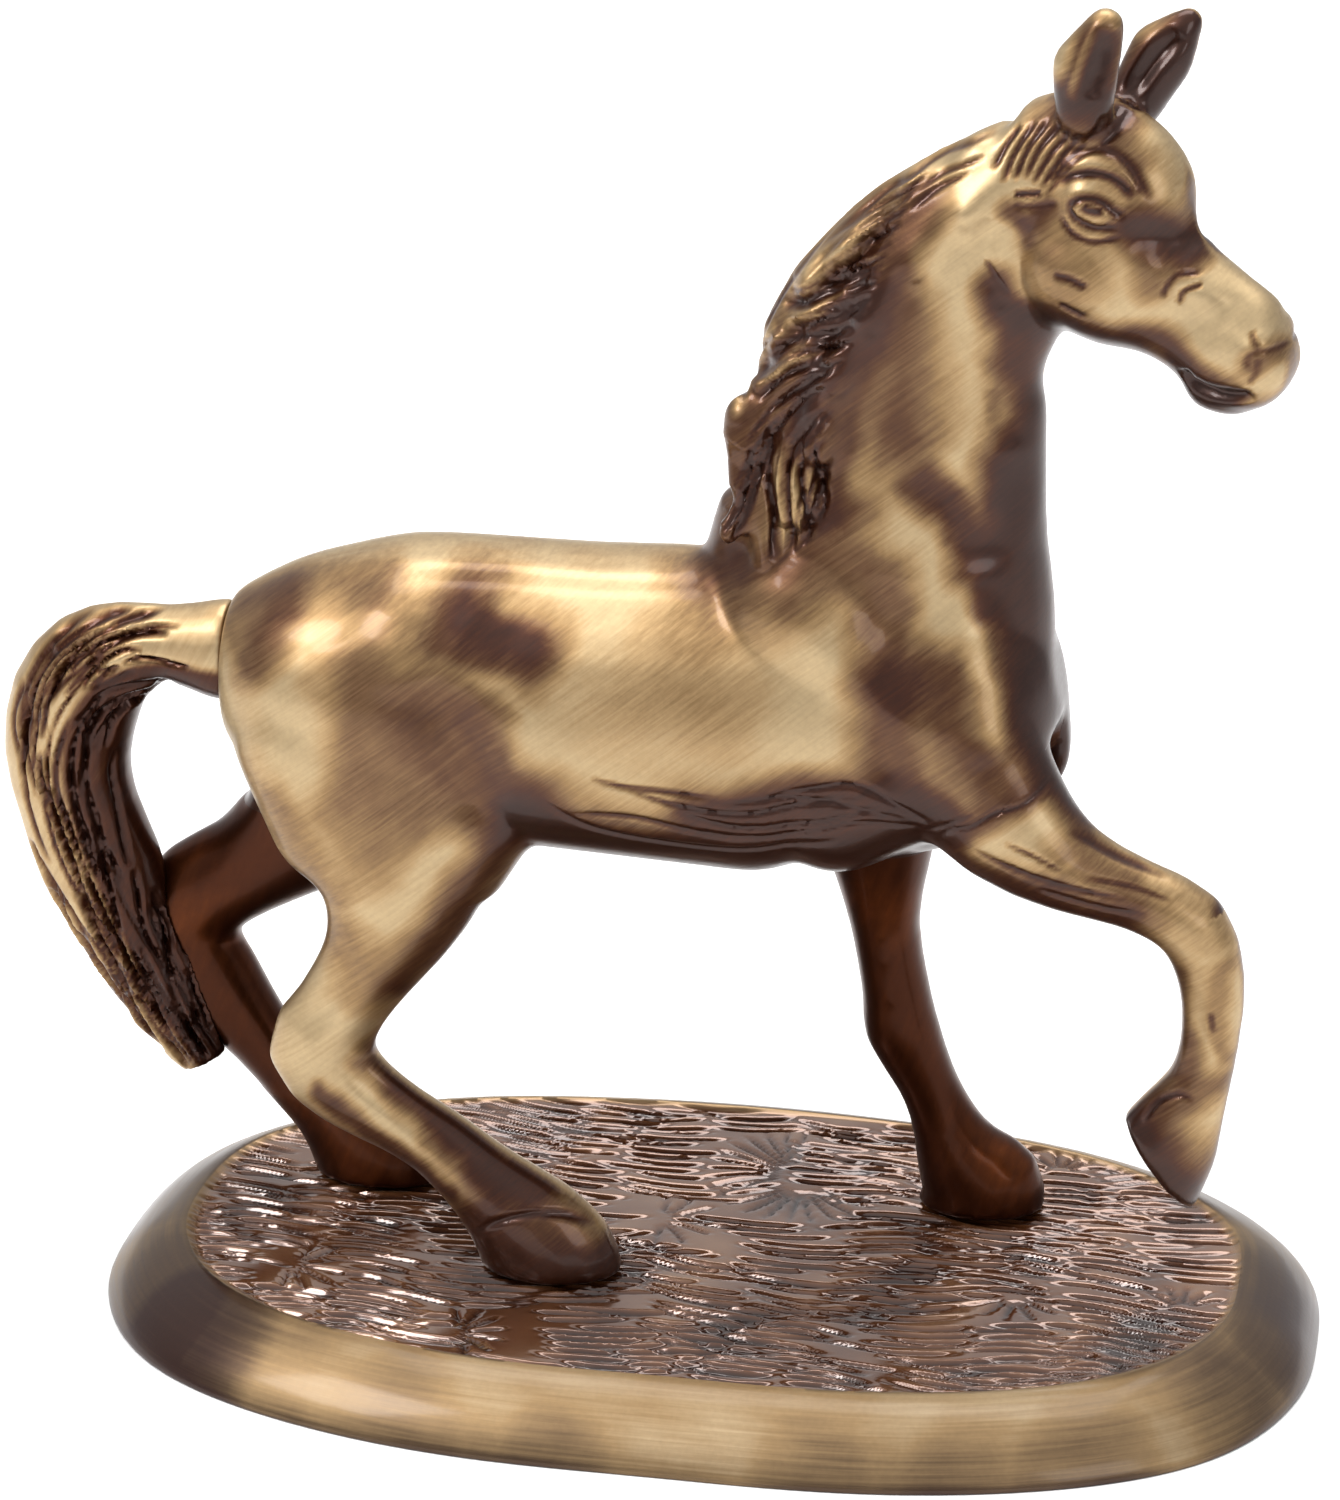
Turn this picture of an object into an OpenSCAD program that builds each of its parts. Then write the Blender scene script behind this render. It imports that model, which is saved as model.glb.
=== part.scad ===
// Cast bronze horse statuette: a walking horse, brazed together from separate castings and
// held down on a hollow oval plinth by three screws that come up into its standing hooves.
// Millimetres. +X is the way the horse faces, +Y is its left side, +Z is up.
// The origin is under the middle of the whole figure, tail included, on the face that it stands on.

/* [Plinth] */
// Length of the plinth's top face
plinth_length = 147; // [140:1:190]
// Width of the plinth's top face
plinth_width = 83; // [76:1:120]
// Height of the plinth
plinth_height = 9.5; // [8.5:0.5:16]
// How far the plinth's foot spreads beyond its top face
plinth_flare = 11; // [6:0.5:16]
// Thickness of the plinth's casting
plinth_wall = 4; // [3:0.5:5]

/* [Horse] */
// Height of the horse's back above the plinth
back_height = 99; // [82:1:120]
// How far the head turns towards the horse's right, in degrees
head_turn = 14; // [0:1:20]
// Wall of the hollow trunk and neck castings
shell_wall = 3.5; // [2.5:0.5:5]

// How far the horse stands forward of the plinth's middle
horse_forward = -0.6; // [-2:0.2:2]
// How far the horse stands to the left of the plinth's middle
horse_left = 2.5; // [0:0.5:4]

/* [Fastening] */
// Diameter of the screws' shanks
screw_d = 4; // [3:0.5:5]
// Depth of the tapped hole in each standing hoof
tap_depth = 8; // [5:0.5:10]
// Diameter of the screws' heads
screw_head_d = 7; // [6:0.5:9]
// Height of the screws' heads
screw_head_h = 2.4; // [1.5:0.1:3]
// Outer diameter of the washers
washer_d = 9; // [8:0.5:12]
// Thickness of the washers
washer_t = 0.8; // [0.5:0.1:1.2]

/* [Hidden] */

brass = "#B89A63";
patina = "#3A2114";
steel = "#A8A8A4";

// ---- fits ----
screw_clearance = 0.25;   // radial gap between a shank and the plinth's hole
thread_clearance = 0.05;  // radial gap between a shank and the tapped hole
tip_gap = 0.5;            // between a screw's tip and the bottom of the tapped hole
washer_gap = 0.2;         // radial gap between a shank and its washer
slot_w = 1;               // the screwdriver slot
slot_depth = 1;

// ---- the horse's own frame: it stands on z = 0, and its back is modelled 99 high ----
modelled_back = 99;
horse_scale = back_height / modelled_back;
// the tail's bow is the rearmost point, and the plinth's foot the foremost
tail_reach = 99.7;
rear = horse_scale * tail_reach - horse_forward;
front = plinth_length / 2 + plinth_flare;
plinth_at = [(rear - front) / 2, 0, 0];
horse_at = plinth_at + [horse_forward, horse_left, plinth_height];
module on_plinth() translate(horse_at) scale(horse_scale) children();
function screw_at(sole) = [horse_at[0] + sole[0] * horse_scale, horse_at[1] + sole[1] * horse_scale];

// A station of a loft is [x, y, z, a, b]: the centre, the half-size in the plane of the path,
// and the half-width across it.
trunk = [[-68, 0, 81, 5, 5], [-66, 0, 81, 9.5, 9], [-60, 0, 80, 14.5, 14.5], [-52, 0, 79, 18, 17.2],
         [-42, 0, 78.4, 20.8, 18.6], [-30, 0, 78.6, 21, 18.4], [-17, 0, 78.6, 21, 18.8],
         [-5, 0, 78.4, 21.8, 18.8], [8, 0, 79, 21.4, 18.2], [20, 0, 80.5, 21.5, 17.2],
         [32, 0, 83, 20.5, 16], [40, 0, 85, 17.5, 13.6], [44.4, 0, 86.5, 12, 9.5], [46.4, 0, 87, 5, 5]];
neck = [[21.8, 0, 83, 24, 15], [21.8, 0, 94, 24, 13.8], [22.6, 0, 104, 22.8, 12.2], [24.4, 0, 113.4, 20.2, 10.8],
        [25, 0, 121.4, 19.2, 9.8], [25.4, 0, 129.6, 19.2, 9.2], [28.8, 0, 137, 17, 8.8], [33, 0, 142.6, 15.6, 8.4],
        [38.4, 0, 148.2, 13.6, 8.2], [44.6, 0, 153, 12, 8]];
// the head points along +X here, and head_turn swings it about the poll
poll = [42, 0];
head_line = [[38, 0, 160, 6, 6], [42.8, 0, 157.2, 12.6, 8], [48.4, 0, 152.4, 15.4, 9.2], [53.4, 0, 147, 14, 9.2],
             [57.6, 0, 143.8, 11, 8], [61.2, 0, 141.7, 8.8, 6.8], [65, 0, 139.6, 8.2, 6.2], [69, 0, 137, 8.4, 6.2],
             [72.8, 0, 135.2, 7.6, 6.4], [75.8, 0, 134.6, 5.4, 5.2], [77.6, 0, 134.3, 2.4, 2.6]];
right_fore_line = [[28, -7, 86, 13, 8.6], [35, -9, 77.5, 11.5, 8.6], [42.5, -10.8, 69, 9, 7.4],
                   [50.5, -11.8, 64, 6.2, 6], [59, -12.2, 61.2, 4.8, 5], [66.3, -12.4, 57.6, 5.1, 4.9],
                   [69.2, -12.4, 50, 4.5, 4.5], [69.3, -12.4, 42, 4, 4.1], [68.2, -12.4, 35.5, 4.2, 4.3],
                   [65.9, -12.4, 30, 5.8, 4.9], [64.2, -12.4, 26, 7, 5.4]];
left_fore_line = [[20, 7, 76, 12, 7.6], [20.5, 9.5, 64, 9.6, 7.4], [21, 11.5, 53, 7, 6.2],
                  [21.6, 12.4, 43, 4.8, 5], [23.3, 13, 32, 4.8, 4.6], [24, 13.2, 27, 5.3, 4.7],
                  [27.6, 13.8, 18.8, 4.2, 4.1], [30.2, 14.4, 12.4, 4.8, 4.5], [32.2, 14.8, 7.6, 6.5, 5.4],
                  [34.8, 15.2, 3.6, 8.7, 6.2], [35.2, 15.2, 0.6, 8.9, 6.4], [35.2, 15.2, -4, 8.9, 6.4]];
right_hind_line = [[-45, -6.5, 80, 17, 10.5], [-43, -8.6, 68, 18.4, 10.2], [-41.4, -10.4, 57.6, 15, 9.2],
                   [-41.6, -11.6, 50.6, 10.4, 7.8], [-44, -12.2, 44.2, 7.5, 6.4], [-46.8, -12.5, 39.4, 6.5, 5.6],
                   [-49.6, -12.7, 34.6, 6.4, 5.2], [-52, -12.9, 29, 7.6, 5.1], [-47.6, -13, 23.6, 6.4, 4.7],
                   [-40.9, -13.4, 19.8, 5.2, 4.3], [-35.2, -13.8, 16.6, 5.2, 4.4], [-30.8, -14.2, 13.2, 5.6, 4.7],
                   [-27.2, -14.6, 10.2, 6.6, 5.2], [-23.3, -14.8, 6.4, 8.2, 6], [-20.6, -14.8, 2.4, 9.7, 6.5],
                   [-19.8, -14.8, -0.6, 10.1, 6.7], [-19.8, -14.8, -4, 10.1, 6.7]];
left_hind_line = [[-45, 6, 80, 17, 10.4], [-48, 8, 68, 16, 9.8], [-53.8, 9, 58, 12.8, 8.8],
                  [-61.6, 9.6, 50, 9, 7.2], [-68, 10, 45, 7.4, 6.2], [-74, 10, 41, 7.6, 6], [-77.4, 10, 35, 7.6, 5.8],
                  [-72.4, 10, 27, 6.8, 5.2], [-66.2, 10, 19, 5, 4.5], [-61, 9.8, 13.4, 5, 4.6],
                  [-56.4, 9.4, 9.6, 6, 4.9], [-52.6, 9.1, 5.8, 7.8, 5.6], [-50, 8.9, 2.2, 9.4, 6.1],
                  [-49, 8.9, -0.6, 9.8, 6.3], [-49, 8.9, -4, 9.8, 6.3]];
tail_line = [[-62, 0, 81.5, 7.6, 6.4], [-68.8, 0.2, 81.3, 6.8, 6], [-75.2, 0.8, 81.4, 5.2, 5.2],
             [-80.6, 1.4, 80, 6.6, 5.8], [-85.6, 2.2, 77, 8.2, 6.4], [-89.4, 3, 71.2, 9, 6.7], [-91, 3.6, 63, 8.8, 6.8],
             [-90, 4.4, 55, 8.4, 6.6], [-87.4, 5.2, 46, 8.8, 6.3], [-84.6, 6, 37.8, 7.8, 5.8],
             [-80.6, 6.8, 29.6, 7.4, 5.4], [-76.6, 7.2, 21.6, 5.8, 4.4], [-73.6, 7.4, 16, 3.6, 3]];

// Where the screws meet the standing hooves
left_fore_sole = [35.2, 15.2];
right_hind_sole = [-19.8, -14.8];
left_hind_sole = [-49, 8.9];
standing_hooves = [left_fore_sole, right_hind_sole, left_hind_sole];
// the raised hoof hangs with its sole facing back and down: its sole's middle and the turn about Y
raised_sole_at = [63.1, -12.4, 22.8];
raised_sole_turn = 233;
raised_sole = [8.2, 6];          // half-length and half-width
raised_coronet_at = [2.2, 0, -5.8];
raised_coronet = [6.6, 5.2];
hoof_slice = 0.4;                // thickness of the discs that it is stretched between

// ---- where the castings are sawn flat and brazed: a point on the joint and its normal ----
head_joint = [[38.5, 0, 148], [0.92, 0, 0.39]];
right_fore_joint = [[39.8, -10, 71.6], [0.8, 0, -0.6]];
left_fore_joint = [[20.8, 10, 56], [0, 0, -1]];
right_hind_joint = [[-40.5, -11, 53], [0, 0, -1]];
left_hind_joint = [[-56, 9.5, 56], [0, 0, -1]];
tail_joint = [[-66.4, 0, 82], [-1, 0, 0]];
reach = 400;         // larger than the whole figure

// ---- curves and lofts ----
function blend4(a, b, c, d, t) =
    0.5 * (2 * b + (c - a) * t + (2 * a - 5 * b + 4 * c - d) * t * t + (3 * b - a - 3 * c + d) * t * t * t);
function at(list, i) = list[min(max(i, 0), len(list) - 1)];
function along(list, u) = let (i = min(floor(u), len(list) - 2), t = u - i)
    blend4(at(list, i - 1), at(list, i), at(list, i + 1), at(list, i + 2), t);
function fine(list, per) = [for (k = [0 : (len(list) - 1) * per]) along(list, k / per)];
function place(s) = [s[0], s[1], s[2]];
function unit(v) = v / norm(v);
function heading(rows, k) = unit(place(at(rows, k + 1)) - place(at(rows, k - 1)));
function ring(rows, k, sides) =
    let (s = rows[k], t = heading(rows, k), n = unit(cross(t, [0, 1, 0])), w = cross(n, t))
    [for (j = [0 : sides - 1]) let (q = 360 * (j + 0.5) / sides)
        place(s) + n * s[3] * cos(q) + w * s[4] * sin(q)];

module skin(rings) {
    sides = len(rings[0]);
    last = len(rings) - 1;
    walls = [for (k = [0 : last - 1], j = [0 : sides - 1])
        let (a = k * sides + j, b = k * sides + (j + 1) % sides) each
            [[a, b, a + sides], [b, b + sides, a + sides]]];
    polyhedron(points = [for (r = rings) each r],
               faces = concat(walls, [[for (j = [sides - 1 : -1 : 0]) j]],
                              [[for (j = [0 : sides - 1]) last * sides + j]]));
}
module loft(list, sides, per) {
    rows = fine(list, per);
    skin([for (k = [0 : len(rows) - 1]) ring(rows, k, sides)]);
}
function thinned(list, wall, first, last) =
    [for (i = [first : last]) let (s = list[i]) [s[0], s[1], s[2], s[3] - wall, s[4] - wall]];

// everything beyond a joint, on the side that its normal points to
module beyond(joint) {
    n = joint[1];
    translate(joint[0])
        rotate([0, atan2(norm([n[0], n[1]]), n[2]), atan2(n[1], n[0])])
            translate([-reach / 2, -reach / 2, 0]) cube(reach);
}

// a muscle laid on the figure: an egg stretched between two round ends
module muscle(p, rp, q, rq) hull() {
    translate(p) sphere(rp, $fn = 20);
    translate(q) sphere(rq, $fn = 20);
}

// ---- the figure's masses ----
module turned_head() translate([poll[0], poll[1], 0]) rotate(-head_turn) translate([-poll[0], -poll[1], 0])
    children();

// an ear is [root, middle, tip, the tip's radius]; the head is cocked, so they are not a mirrored pair
ears = [[[50.2, -5.4, 166.4], [50.6, -6.2, 172.4], [53, -5.8, 178.2], 2.4],
        [[51.6, 7.4, 163.6], [54.8, 9.4, 170.4], [58, 10.8, 175], 1.9]];
module ear(points) {
    hull() {
        translate(points[0]) sphere(3.6, $fn = 16);
        translate(points[1]) scale([1, 0.7, 1]) sphere(4.4, $fn = 16);
    }
    hull() {
        translate(points[1]) scale([1, 0.7, 1]) sphere(4.4, $fn = 16);
        translate(points[2]) sphere(points[3], $fn = 16);
    }
}

module head_mass() turned_head() {
    loft(head_line, 20, 3);
    for (points = ears) ear(points);
    for (side = [-1, 1]) {
        muscle([49.5, side * 1.6, 145.5], 9, [53.5, side * 1, 142.5], 8);       // cheek
        muscle([51.5, side * 6.2, 156.5], 3.4, [55, side * 5, 154], 3.2);       // brow
        muscle([72.6, side * 3.2, 138], 3.4, [74.8, side * 2.6, 135], 3.2);     // nostril
    }
    muscle([66, 0, 130.2], 3.2, [69.6, 0, 129.2], 2.8);                         // lower lip
}

module body_mass(side) {
    loft(trunk, 28, 2);
    loft(neck, 24, 2);
    muscle([14, side * 3, 95], 13, [27, side * 3.4, 83], 14);                 // shoulder blade
    muscle([30, side * 4.4, 82], 13.2, [34.6, side * 4.6, 80], 11.6);           // point of the shoulder
    muscle([28, side * 6, 76], 11.4, [18, side * 6.6, 70], 10.6);             // upper arm
    muscle([36.4, side * 4.4, 86], 8.4, [35.6, side * 4, 74], 8.2);             // breast
    muscle([-40, side * 3.6, 83.6], 14.6, [-51, side * 3.4, 78.4], 14);           // croup
    muscle([-53, side * 6.4, 73], 11.6, [-49.5, side * 8, 62], 10);           // buttock
    // stifle: the right one is drawn forward and the left one back
    if (side < 0) muscle([-31, -9, 64], 8.6, [-35, -10.4, 54], 6.8);
    else muscle([-35, 8, 68], 9.6, [-45, 9, 62], 8.8);
    muscle([-20, side * 4.6, 73.4], 14.2, [6, side * 4.4, 72.6], 14.6);           // ribs
}

// the mane lies on the right side of the neck: locks from the crest, each [root, radius, tip, radius]
locks = [[[43, -2.6, 160.5], 3.6, [34, -7.4, 152], 2.4], [[35.5, -2.4, 157.6], 4, [27, -7.8, 145], 2.6],
         [[28, -2.4, 152.6], 4.2, [21.5, -8.4, 137.5], 2.8], [[21, -2.6, 146], 4.2, [17.5, -9, 129], 2.8],
         [[15.4, -3, 138.8], 4.2, [15.4, -9.6, 120], 2.8], [[11.6, -3.4, 131], 4, [13, -10.4, 111], 2.4],
         [[8.8, -4, 124.4], 3.8, [8.8, -11, 104.4], 1.6], [[7.4, -5, 118.6], 4, [3.8, -10.6, 107], 1.8],
         [[5.6, -5.4, 121.6], 3.4, [5, -8, 113], 3]];
module mane() for (lock = locks) hull() {
    translate(lock[0]) sphere(lock[1], $fn = 16);
    translate(lock[2]) sphere(lock[3], $fn = 16);
}

module raised_hoof() translate(raised_sole_at) rotate([0, raised_sole_turn, 0]) hull() {
    scale([raised_sole[0], raised_sole[1], 1]) cylinder(h = hoof_slice, r = 1, $fn = 32);
    translate(raised_coronet_at) scale([raised_coronet[0], raised_coronet[1], 1])
        cylinder(h = hoof_slice, r = 1, $fn = 32);
}

// the right-hand and left-hand halves of the trunk and neck, hollow, cut off at every joint
module trunk_half(side) on_plinth() difference() {
    union() {
        body_mass(side);
        if (side < 0) mane();
        head_mass();
        loft(side < 0 ? right_fore_line : left_fore_line, 18, 2);
        loft(side < 0 ? right_hind_line : left_hind_line, 18, 2);
    }
    loft(thinned(trunk, shell_wall, 3, len(trunk) - 3), 20, 1);
    loft(thinned(neck, shell_wall, 1, len(neck) - 2), 20, 1);
    translate([-reach / 2, side < 0 ? 0 : -reach, -reach / 2]) cube(reach);
    beyond(head_joint);
    beyond(tail_joint);
    beyond(side < 0 ? right_fore_joint : left_fore_joint);
    beyond(side < 0 ? right_hind_joint : left_hind_joint);
}

module trunk_right_shell() color(brass) trunk_half(-1);
module trunk_left_shell() color(brass) trunk_half(1);

module head() color(brass) on_plinth() intersection() {
    union() {
        head_mass();
        loft(neck, 24, 2);
        mane();
    }
    beyond(head_joint);
}

// ---- legs and tail ----
module standing_leg(line, sole, joint) difference() {
    on_plinth() intersection() {
        loft(line, 18, 2);
        beyond(joint);
        translate([-reach / 2, -reach / 2, 0]) cube(reach);
    }
    c = screw_at(sole);
    translate([c[0], c[1], plinth_height - 1]) cylinder(h = tap_depth + 1, d = screw_d, $fn = 48);
}

module right_foreleg() color(brass) on_plinth() intersection() {
    union() {
        loft(right_fore_line, 18, 2);
        raised_hoof();
    }
    beyond(right_fore_joint);
}
module left_foreleg() color(patina) standing_leg(left_fore_line, left_fore_sole, left_fore_joint);
module right_hind_leg() color(brass) standing_leg(right_hind_line, right_hind_sole, right_hind_joint);
module left_hind_leg() color(patina) standing_leg(left_hind_line, left_hind_sole, left_hind_joint);

// the tail is fitted round the left hock, which it is brazed to
module tail() color(brass) on_plinth() difference() {
    intersection() {
        loft(tail_line, 18, 2);
        beyond(tail_joint);
    }
    loft(left_hind_line, 18, 2);
}

// ---- plinth ----
squareness = 2.5;   // 2 is an ellipse, and more is squarer
function power(v, e) = sign(v) * pow(abs(v), e);
function oval(a, b, z, sides) = [for (j = [0 : sides - 1]) let (q = 360 * j / sides)
    [a * power(cos(q), 2 / squareness), b * power(sin(q), 2 / squareness), z]];
// the side swells out below the top edge: [share of the flare, share of the height], downwards
side_shape = [[0, 1], [0.12, 0.96], [0.36, 0.82], [0.62, 0.62], [0.84, 0.38], [0.97, 0.14], [1, 0]];
module oval_block(inset, height, sides) {
    a = plinth_length / 2 - inset;
    b = plinth_width / 2 - inset;
    translate(plinth_at) skin([for (s = side_shape)
        oval(a + s[0] * plinth_flare, b + s[0] * plinth_flare, s[1] * height, sides)]);
}
module plinth() color(brass) difference() {
    oval_block(0, plinth_height, 72);
    difference() {
        oval_block(plinth_wall, plinth_height, 48);
        translate([-reach / 2, -reach / 2, plinth_height - plinth_wall]) cube(reach);
    }
    for (h = standing_hooves) let (c = screw_at(h)) translate([c[0], c[1], -1])
        cylinder(h = plinth_height + 2, r = screw_d / 2 + screw_clearance, $fn = 48);
}

// ---- fasteners: a washer bears on the plinth's ceiling, and the head on the washer ----
ceiling = plinth_height - plinth_wall;
module screw() {
    head_top = ceiling - washer_t;
    difference() {
        translate([0, 0, head_top - screw_head_h]) cylinder(h = screw_head_h, d = screw_head_d, $fn = 48);
        translate([-screw_head_d, -slot_w / 2, head_top - screw_head_h - 1])
            cube([2 * screw_head_d, slot_w, slot_depth + 1]);
    }
    translate([0, 0, head_top])
        cylinder(h = plinth_height + tap_depth - tip_gap - head_top, r = screw_d / 2 - thread_clearance, $fn = 48);
}
module hoof_screws() color(steel) for (h = standing_hooves) let (c = screw_at(h))
    translate([c[0], c[1], 0]) screw();
module screw_washers() color(steel) for (h = standing_hooves) let (c = screw_at(h))
    translate([c[0], c[1], ceiling - washer_t]) difference() {
        cylinder(h = washer_t, d = washer_d, $fn = 48);
        translate([0, 0, -1]) cylinder(h = washer_t + 2, r = screw_d / 2 + washer_gap, $fn = 48);
    }

plinth();
trunk_right_shell();
trunk_left_shell();
head();
right_foreleg();
left_foreleg();
right_hind_leg();
left_hind_leg();
tail();
hoof_screws();
screw_washers();
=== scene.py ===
# %% [markdown]
# # A cast bronze walking horse on an oval plinth
# The real object is cast bronze that was dipped in a dark brown patina, and then rubbed back with
# abrasive until pale brass shows on everything that stands proud. Two things make it look right:
# the modelling of the horse, and where the dark patina was left. Both are made here as a sculptor
# would: a clay horse first, then strokes cut into it, then the rubbing. The frame that everything
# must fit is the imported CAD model, which is loaded first and never changed.

# %% Load the frame
import math
import random

import bmesh
import bpy
import numpy as np
from mathutils import Matrix, Vector, kdtree


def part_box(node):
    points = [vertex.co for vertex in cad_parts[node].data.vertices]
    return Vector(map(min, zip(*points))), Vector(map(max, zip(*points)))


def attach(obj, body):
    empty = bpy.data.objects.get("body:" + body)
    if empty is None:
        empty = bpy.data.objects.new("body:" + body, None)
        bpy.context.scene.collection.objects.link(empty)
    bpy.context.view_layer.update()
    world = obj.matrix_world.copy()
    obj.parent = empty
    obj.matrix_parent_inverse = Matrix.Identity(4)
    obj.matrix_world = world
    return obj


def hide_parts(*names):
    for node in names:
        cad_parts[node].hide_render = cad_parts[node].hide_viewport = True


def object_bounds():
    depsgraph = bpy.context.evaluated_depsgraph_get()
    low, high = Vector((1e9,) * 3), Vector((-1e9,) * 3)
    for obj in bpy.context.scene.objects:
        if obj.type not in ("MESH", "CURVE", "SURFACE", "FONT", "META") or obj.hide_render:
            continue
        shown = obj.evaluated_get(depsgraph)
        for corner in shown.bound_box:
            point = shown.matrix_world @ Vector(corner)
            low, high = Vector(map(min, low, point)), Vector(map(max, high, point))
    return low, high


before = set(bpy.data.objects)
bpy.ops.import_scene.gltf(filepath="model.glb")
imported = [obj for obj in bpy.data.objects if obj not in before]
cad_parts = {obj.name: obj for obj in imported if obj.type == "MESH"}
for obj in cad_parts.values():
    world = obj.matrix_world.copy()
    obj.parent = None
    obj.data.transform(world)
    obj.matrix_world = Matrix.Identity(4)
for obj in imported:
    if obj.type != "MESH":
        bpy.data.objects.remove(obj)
cad_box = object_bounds()
MM = 0.001
plinth_low, plinth_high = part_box("plinth")
print("CAD box in mm:", [[round(c / MM, 1) for c in corner] for corner in cad_box])

# %% [markdown]
# ## The horse's own frame
# A sculptor thinks in the horse's own measures: x runs forward, y to its left, and z up from the
# plinth's top, all in millimetres. Its zero is a little off the plinth's middle. The head is turned
# to the right about the poll, and its features are laid out as if it looked straight ahead.

# %% Frames for the horse and its turned head
HORSE_OFF_CENTRE = (-0.6, 2.5)
horse_zero = np.array([(plinth_low.x + plinth_high.x) / 2 / MM + HORSE_OFF_CENTRE[0],
                       (plinth_low.y + plinth_high.y) / 2 / MM + HORSE_OFF_CENTRE[1],
                       plinth_high.z / MM])
HEAD_TURN = math.radians(14)
POLL_X = 42.0


def to_horse(metres):
    """Row-frame metres to the horse's own millimetres."""
    return metres / MM - horse_zero


def to_row(horse_mm):
    """The horse's own millimetres to row-frame metres."""
    return (np.asarray(horse_mm, float) + horse_zero) * MM


def face_forward(points):
    """Points on the turned head, as they would be if the head looked along +x."""
    c, s = math.cos(HEAD_TURN), math.sin(HEAD_TURN)
    x, y = points[:, 0] - POLL_X, points[:, 1]
    return np.column_stack([POLL_X + c * x - s * y, s * x + c * y, points[:, 2]])


print("the horse's zero in mm:", np.round(horse_zero, 2))

# %% [markdown]
# ## From castings to clay
# The CAD castings have the right proportions, but their muscles are plain eggs pushed together. An
# animal's body is one skin, so copies of the castings are fused: a voxel remesh wraps them in an
# even skin, which then can be smoothed until the eggs flow into each other, and cut as fine as a
# graver would. Subdivision would keep the hard creases between the eggs, and sculpting by hand
# can't be written down. The tail is kept apart because it hangs clear of the rump.

# %% Fuse copies of the castings
VOXEL = 0.47 * MM
OVERLAP = 0.08 * MM      # each copy swells by this, so that neighbours overlap and fuse
SAME_POINT = 0.001 * MM


def linked(name, data):
    """A new object with this data, in the scene."""
    obj = bpy.data.objects.new(name, data)
    bpy.context.scene.collection.objects.link(obj)
    return obj


def solid(name, bm):
    """A new object made from a bmesh, which is then freed."""
    mesh = bpy.data.meshes.new(name)
    bm.to_mesh(mesh)
    bm.free()
    return linked(name, mesh)


def fused(name, nodes):
    """One skin wrapped round copies of these CAD nodes."""
    bm = bmesh.new()
    for node_name in nodes:
        part = bmesh.new()
        part.from_mesh(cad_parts[node_name].data)
        bmesh.ops.remove_doubles(part, verts=part.verts, dist=SAME_POINT)
        part.normal_update()
        for v in part.verts:
            v.co += v.normal * OVERLAP
        joined = bpy.data.meshes.new("part")
        part.to_mesh(joined)
        part.free()
        bm.from_mesh(joined)
        bpy.data.meshes.remove(joined)
    obj = solid(name, bm)
    wrap = obj.modifiers.new("wrap", "REMESH")
    wrap.mode, wrap.voxel_size, wrap.adaptivity = "VOXEL", VOXEL, 0.0
    return finished(obj)


def finished(obj):
    """The object with its modifiers applied."""
    bpy.context.view_layer.update()
    shaped = bpy.data.meshes.new_from_object(obj.evaluated_get(bpy.context.evaluated_depsgraph_get()))
    obj.modifiers.clear()
    old, obj.data = obj.data, shaped
    bpy.data.meshes.remove(old)
    return obj


def keep_outer_skin(obj):
    """Removes the skins of sealed hollows, which are smaller and lie inside the outer one."""
    bm = bmesh.new()
    bm.from_mesh(obj.data)
    bm.verts.ensure_lookup_table()
    seen, groups = set(), []
    for start in bm.verts:
        if start.index in seen:
            continue
        stack, group = [start], []
        seen.add(start.index)
        while stack:
            v = stack.pop()
            group.append(v)
            for e in v.link_edges:
                w = e.other_vert(v)
                if w.index not in seen:
                    seen.add(w.index)
                    stack.append(w)
        groups.append(group)
    groups.sort(key=len)
    for group in groups[:-1]:
        bmesh.ops.delete(bm, geom=group, context="VERTS")
    bm.to_mesh(obj.data)
    bm.free()
    print(obj.name, "had", len(groups), "skins, kept one of", len(obj.data.vertices), "vertices")
    return obj


BODY_NODES = ["trunk_right_shell", "trunk_left_shell", "head", "right_foreleg", "left_foreleg",
              "right_hind_leg", "left_hind_leg"]
body = keep_outer_skin(fused("clay_body", BODY_NODES))
tail = keep_outer_skin(fused("clay_tail", ["tail"]))

# %% [markdown]
# ## The sculptor's tools
# Every stroke is a line seen from the side, given by a few points, with a width, a depth, and how
# much patina stays in it. A stroke moves the skin along its normal, only on the side of the horse
# that it is cut on, and it fades out at both ends as a graver's cut does. A negative depth raises a
# ridge. Widths and depths are in millimetres. Numpy moves all the vertices of a stroke at once.

# %% The clay
RIGHT, LEFT = -1, 1


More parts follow.
